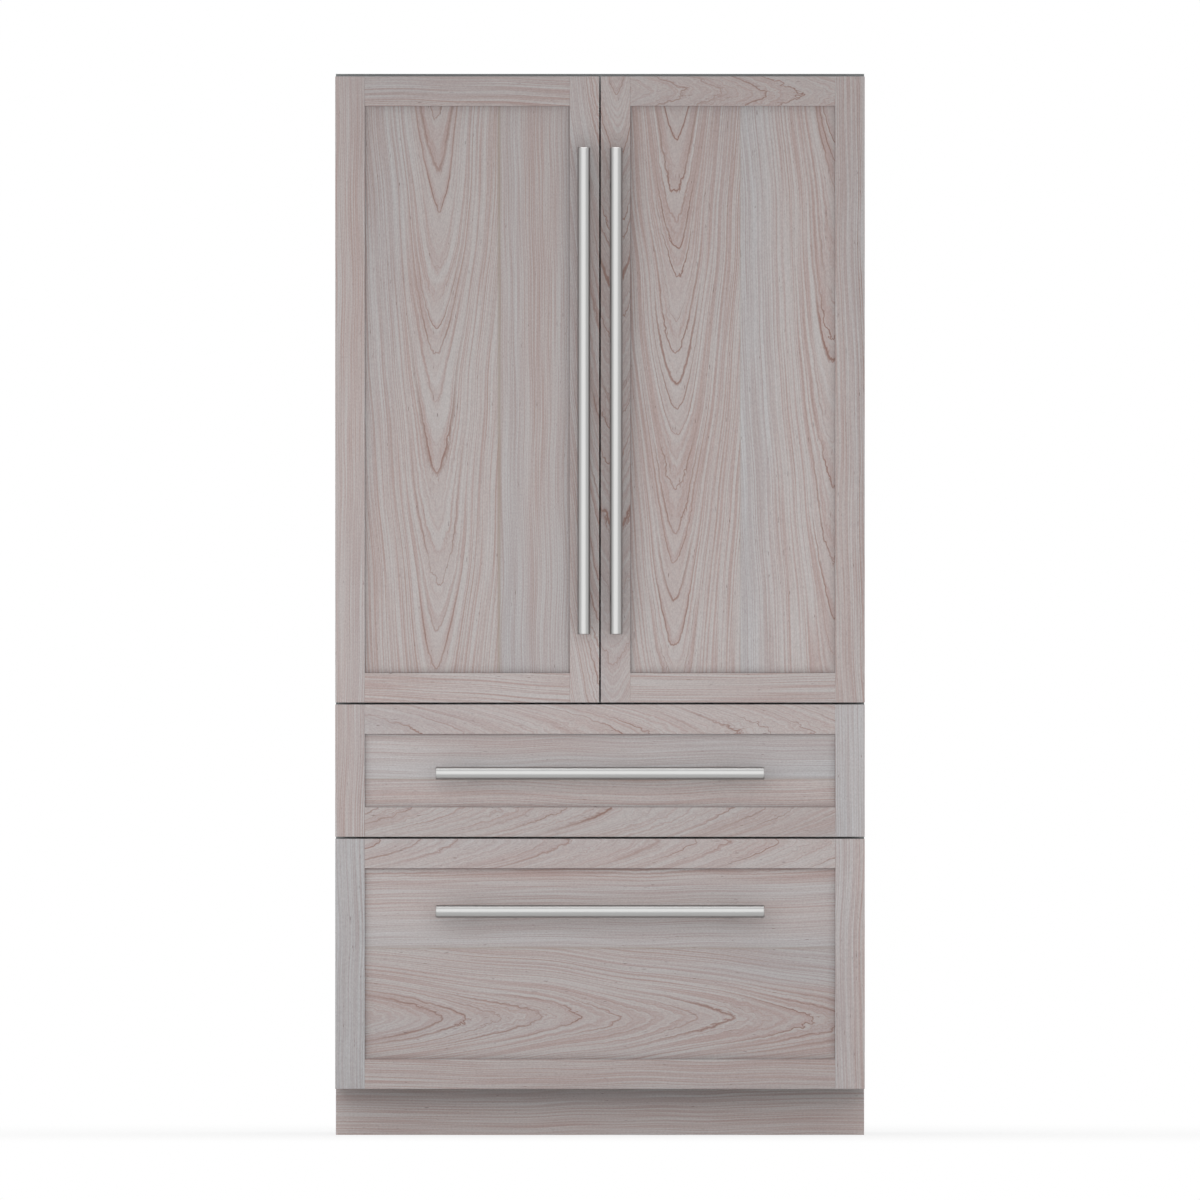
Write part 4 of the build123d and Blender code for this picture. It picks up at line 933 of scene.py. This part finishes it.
def make_bin_rails(door, body):
    """A satin rail round the rim of each bin, past the ribs that hold it."""
    low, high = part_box(f"{door}_bins")
    start_y = low.y + bin_rail_start
    turns = ((low.x + bin_corner, 180, 90), (high.x - bin_corner, 90, 0))
    path = [(Vector((low.x, start_y, 0)), Vector((-1, 0, 0)))]
    for centre_x, start, end in turns:
        centre = Vector((centre_x, high.y - bin_corner, 0))
        for step in range(bin_corner_steps + 1):
            angle = math.radians(start + (end - start) * step / bin_corner_steps)
            outward = Vector((math.cos(angle), math.sin(angle), 0))
            path.append((centre + outward * bin_corner, outward))
    path.append((Vector((high.x, start_y, 0)), Vector((1, 0, 0))))
    pitch = (high.z - low.z - bin_height) / (bin_rows - 1)

    def build(shape):
        for row in range(bin_rows):
            rim = low.z + row * pitch + bin_height
            add_loops(shape, [
                [
                    at + outward * out / 1000 + Vector((0, 0, rim + up / 1000))
                    for out, up in bin_rail_section
                ]
                for at, outward in path
            ])

    make_piece(f"{door}_bin_rails", build, "rail_satin", body)


def window_outline(inset, y):
    """Points round the control window's rounded rectangle, drawn in from its edge."""
    points = []
    for quarter, (side_x, side_z) in enumerate(((1, 1), (-1, 1), (-1, -1), (1, -1))):
        turn = 90 * quarter
        for degrees in range(turn, turn + 91, window_corner_step):
            angle = math.radians(degrees)
            corner_x = side_x * (window_half_width - inset - window_corner)
            corner_z = side_z * (window_half_height - inset - window_corner)
            points.append(Vector((
                controls_middle.x + corner_x + window_corner * math.cos(angle),
                y,
                controls_middle.z + corner_z + window_corner * math.sin(angle),
            )))
    return points


def build_window(shape):
    add_loops(shape, [
        window_outline(inset, controls_middle.y - height) for height, inset in window_rings
    ])


for door in ("left_door", "right_door"):
    make_bin_rails(door, door)

low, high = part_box("hinge_brackets")
hinge_screws = [
    (side * (high.x - bracket_middle) + offset, high.y - bracket_flange, z)
    for side in (-1, 1)
    for offset in (-bracket_screw_reach, bracket_screw_reach)
    for z in (low.z + bracket_screw_inset, high.z - bracket_screw_inset)
]
make_heads("hinge_screws", hinge_screws, screw_rings, screw_socket, "pin_steel")

low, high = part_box("evaporator_cover")
cover_screws = [
    (x, low.y, z)
    for x in (low.x + cover_screw_inset, high.x - cover_screw_inset)
    for z in (low.z + cover_screw_inset, high.z - cover_screw_inset)
]
low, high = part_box("crisper_frame")
cover_screws += [
    (x, low.y, z)
    for x in crisper_screws_x
    for z in (low.z + crisper_screw_rise, high.z - crisper_screw_drop)
]
make_heads("cover_screws", cover_screws, screw_rings, screw_socket, "pin_steel")

low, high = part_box("controls_and_lamp")
controls_middle = Vector((0, low.y, (low.z + high.z) / 2 + controls_lift))
key_places = [
    controls_middle + Vector((side * offset, 0, 0)) for side in (-1, 1) for offset in key_offsets
]
make_heads("control_keys", key_places, key_rings, None, "foot_plastic")
make_piece("control_window", build_window, "window_dark", "cabinet")

# Camera, floor and light


def make_camera():
    camera = bpy.data.objects.new("camera", bpy.data.cameras.new("camera"))
    bpy.context.scene.collection.objects.link(camera)
    camera.location = (0.0, face_y - camera_distance, camera_height)
    camera.rotation_euler = (math.radians(90), 0, 0)
    camera.data.sensor_width = sensor_width
    camera.data.lens = sensor_width * camera_distance / view_width
    camera.data.clip_end = camera_clip_end
    bpy.context.scene.camera = camera


def make_softbox(name, place, aim, size, radiance, in_gloss=True):
    """A flat rectangular lamp that faces a point, which the camera doesn't see."""
    width, height = size
    lamp = bpy.data.objects.new(name, bpy.data.lights.new(name, "AREA"))
    bpy.context.scene.collection.objects.link(lamp)
    lamp.location = place
    lamp.rotation_euler = (Vector(aim) - Vector(place)).to_track_quat("-Z", "Y").to_euler()
    lamp.data.shape = "RECTANGLE"
    lamp.data.size = width
    lamp.data.size_y = height
    lamp.data.energy = radiance * math.pi * width * height
    lamp.visible_camera = False
    lamp.visible_glossy = in_gloss
    lamp.visible_transmission = False


def shown_white(tree):
    """1 for rays that see the surroundings: from the camera, off a gloss or through glass."""
    path = tree.add("ShaderNodeLightPath").outputs
    seen = tree.math("MAXIMUM", path["Is Camera Ray"], path["Is Glossy Ray"])
    return tree.math("MAXIMUM", seen, path["Is Transmission Ray"])


def make_world(ambient):
    """A plain even sky that shows white."""
    world = bpy.data.worlds.new("studio")
    world.use_nodes = True
    world.node_tree.nodes.clear()
    tree = Tree(world.node_tree)
    background = tree.add("ShaderNodeBackground")
    tree.put(background.inputs["Color"], (1.0, 1.0, 1.0))
    tree.put(background.inputs["Strength"], tree.fit(shown_white(tree), 0, 1, ambient, 1.0))
    output = tree.add("ShaderNodeOutputWorld")
    tree.put(output.inputs["Surface"], background.outputs[0])
    bpy.context.scene.world = world


def make_floor(half, shadow_share, shadow_start, shadow_end):
    """A pale floor that shows white, and near the object keeps part of its shadow."""
    mesh = bpy.data.meshes.new("floor")
    corners = ((-half, -half, 0), (half, -half, 0), (half, half, 0), (-half, half, 0))
    mesh.from_pydata(corners, [], [(0, 1, 2, 3)])
    floor = bpy.data.objects.new("floor", mesh)
    bpy.context.scene.collection.objects.link(floor)
    material, tree, shader = new_material("floor", {"Roughness": 0.9, "Specular IOR Level": 0.1})
    surface = shader.outputs[0].links[0].to_socket
    grit = tree.noise(tree.place(), scale=40.0, detail=3.0)
    tree.put(shader.inputs["Base Color"], tree.mix(grit, (0.9, 0.9, 0.9), (0.87, 0.87, 0.87)))
    away = tree.add("ShaderNodeVectorMath", operation="LENGTH")
    tree.put(away.inputs[0], tree.place())
    away = away.outputs["Value"]
    kept = tree.fit(away, shadow_start, shadow_end, shadow_share, 0.0, smooth=True)
    light = tree.add("ShaderNodeEmission")
    blend = tree.add("ShaderNodeMixShader")
    tree.put(blend.inputs[0], tree.times(shown_white(tree), tree.minus(1.0, kept)))
    tree.put(blend.inputs[1], shader.outputs[0])
    tree.put(blend.inputs[2], light.outputs[0])
    tree.put(surface, blend.outputs[0])
    mesh.materials.append(material)


front_aim = (0.0, -0.3, 1.1)
wash_aim = (0.0, -0.3, 1.05)
case_aim = (0.0, 0.2, 1.0)
back_aim = (0.0, 0.3, 1.0)

make_camera()
make_world(ambient=0.4)
make_floor(half=6.0, shadow_share=0.25, shadow_start=0.6, shadow_end=2.4)
make_softbox("key", (-0.25, -2.4, 1.3), front_aim, size=(3.4, 2.6), radiance=0.8)
make_softbox("wash", (-0.25, -2.2, 1.1), wash_aim, size=(2.2, 1.5), radiance=1.0, in_gloss=False)
make_softbox("left", (-3.4, 1.7, 1.7), case_aim, size=(2.4, 2.4), radiance=1.6)
make_softbox("right", (3.4, 1.7, 1.7), case_aim, size=(2.4, 2.4), radiance=1.6)
make_softbox("back", (0.0, 3.4, 1.6), back_aim, size=(2.4, 2.4), radiance=1.3, in_gloss=False)
make_softbox("above", (0.0, 0.4, 4.4), case_aim, size=(3.4, 3.4), radiance=1.6)

bpy.context.scene.view_settings.view_transform = "Standard"
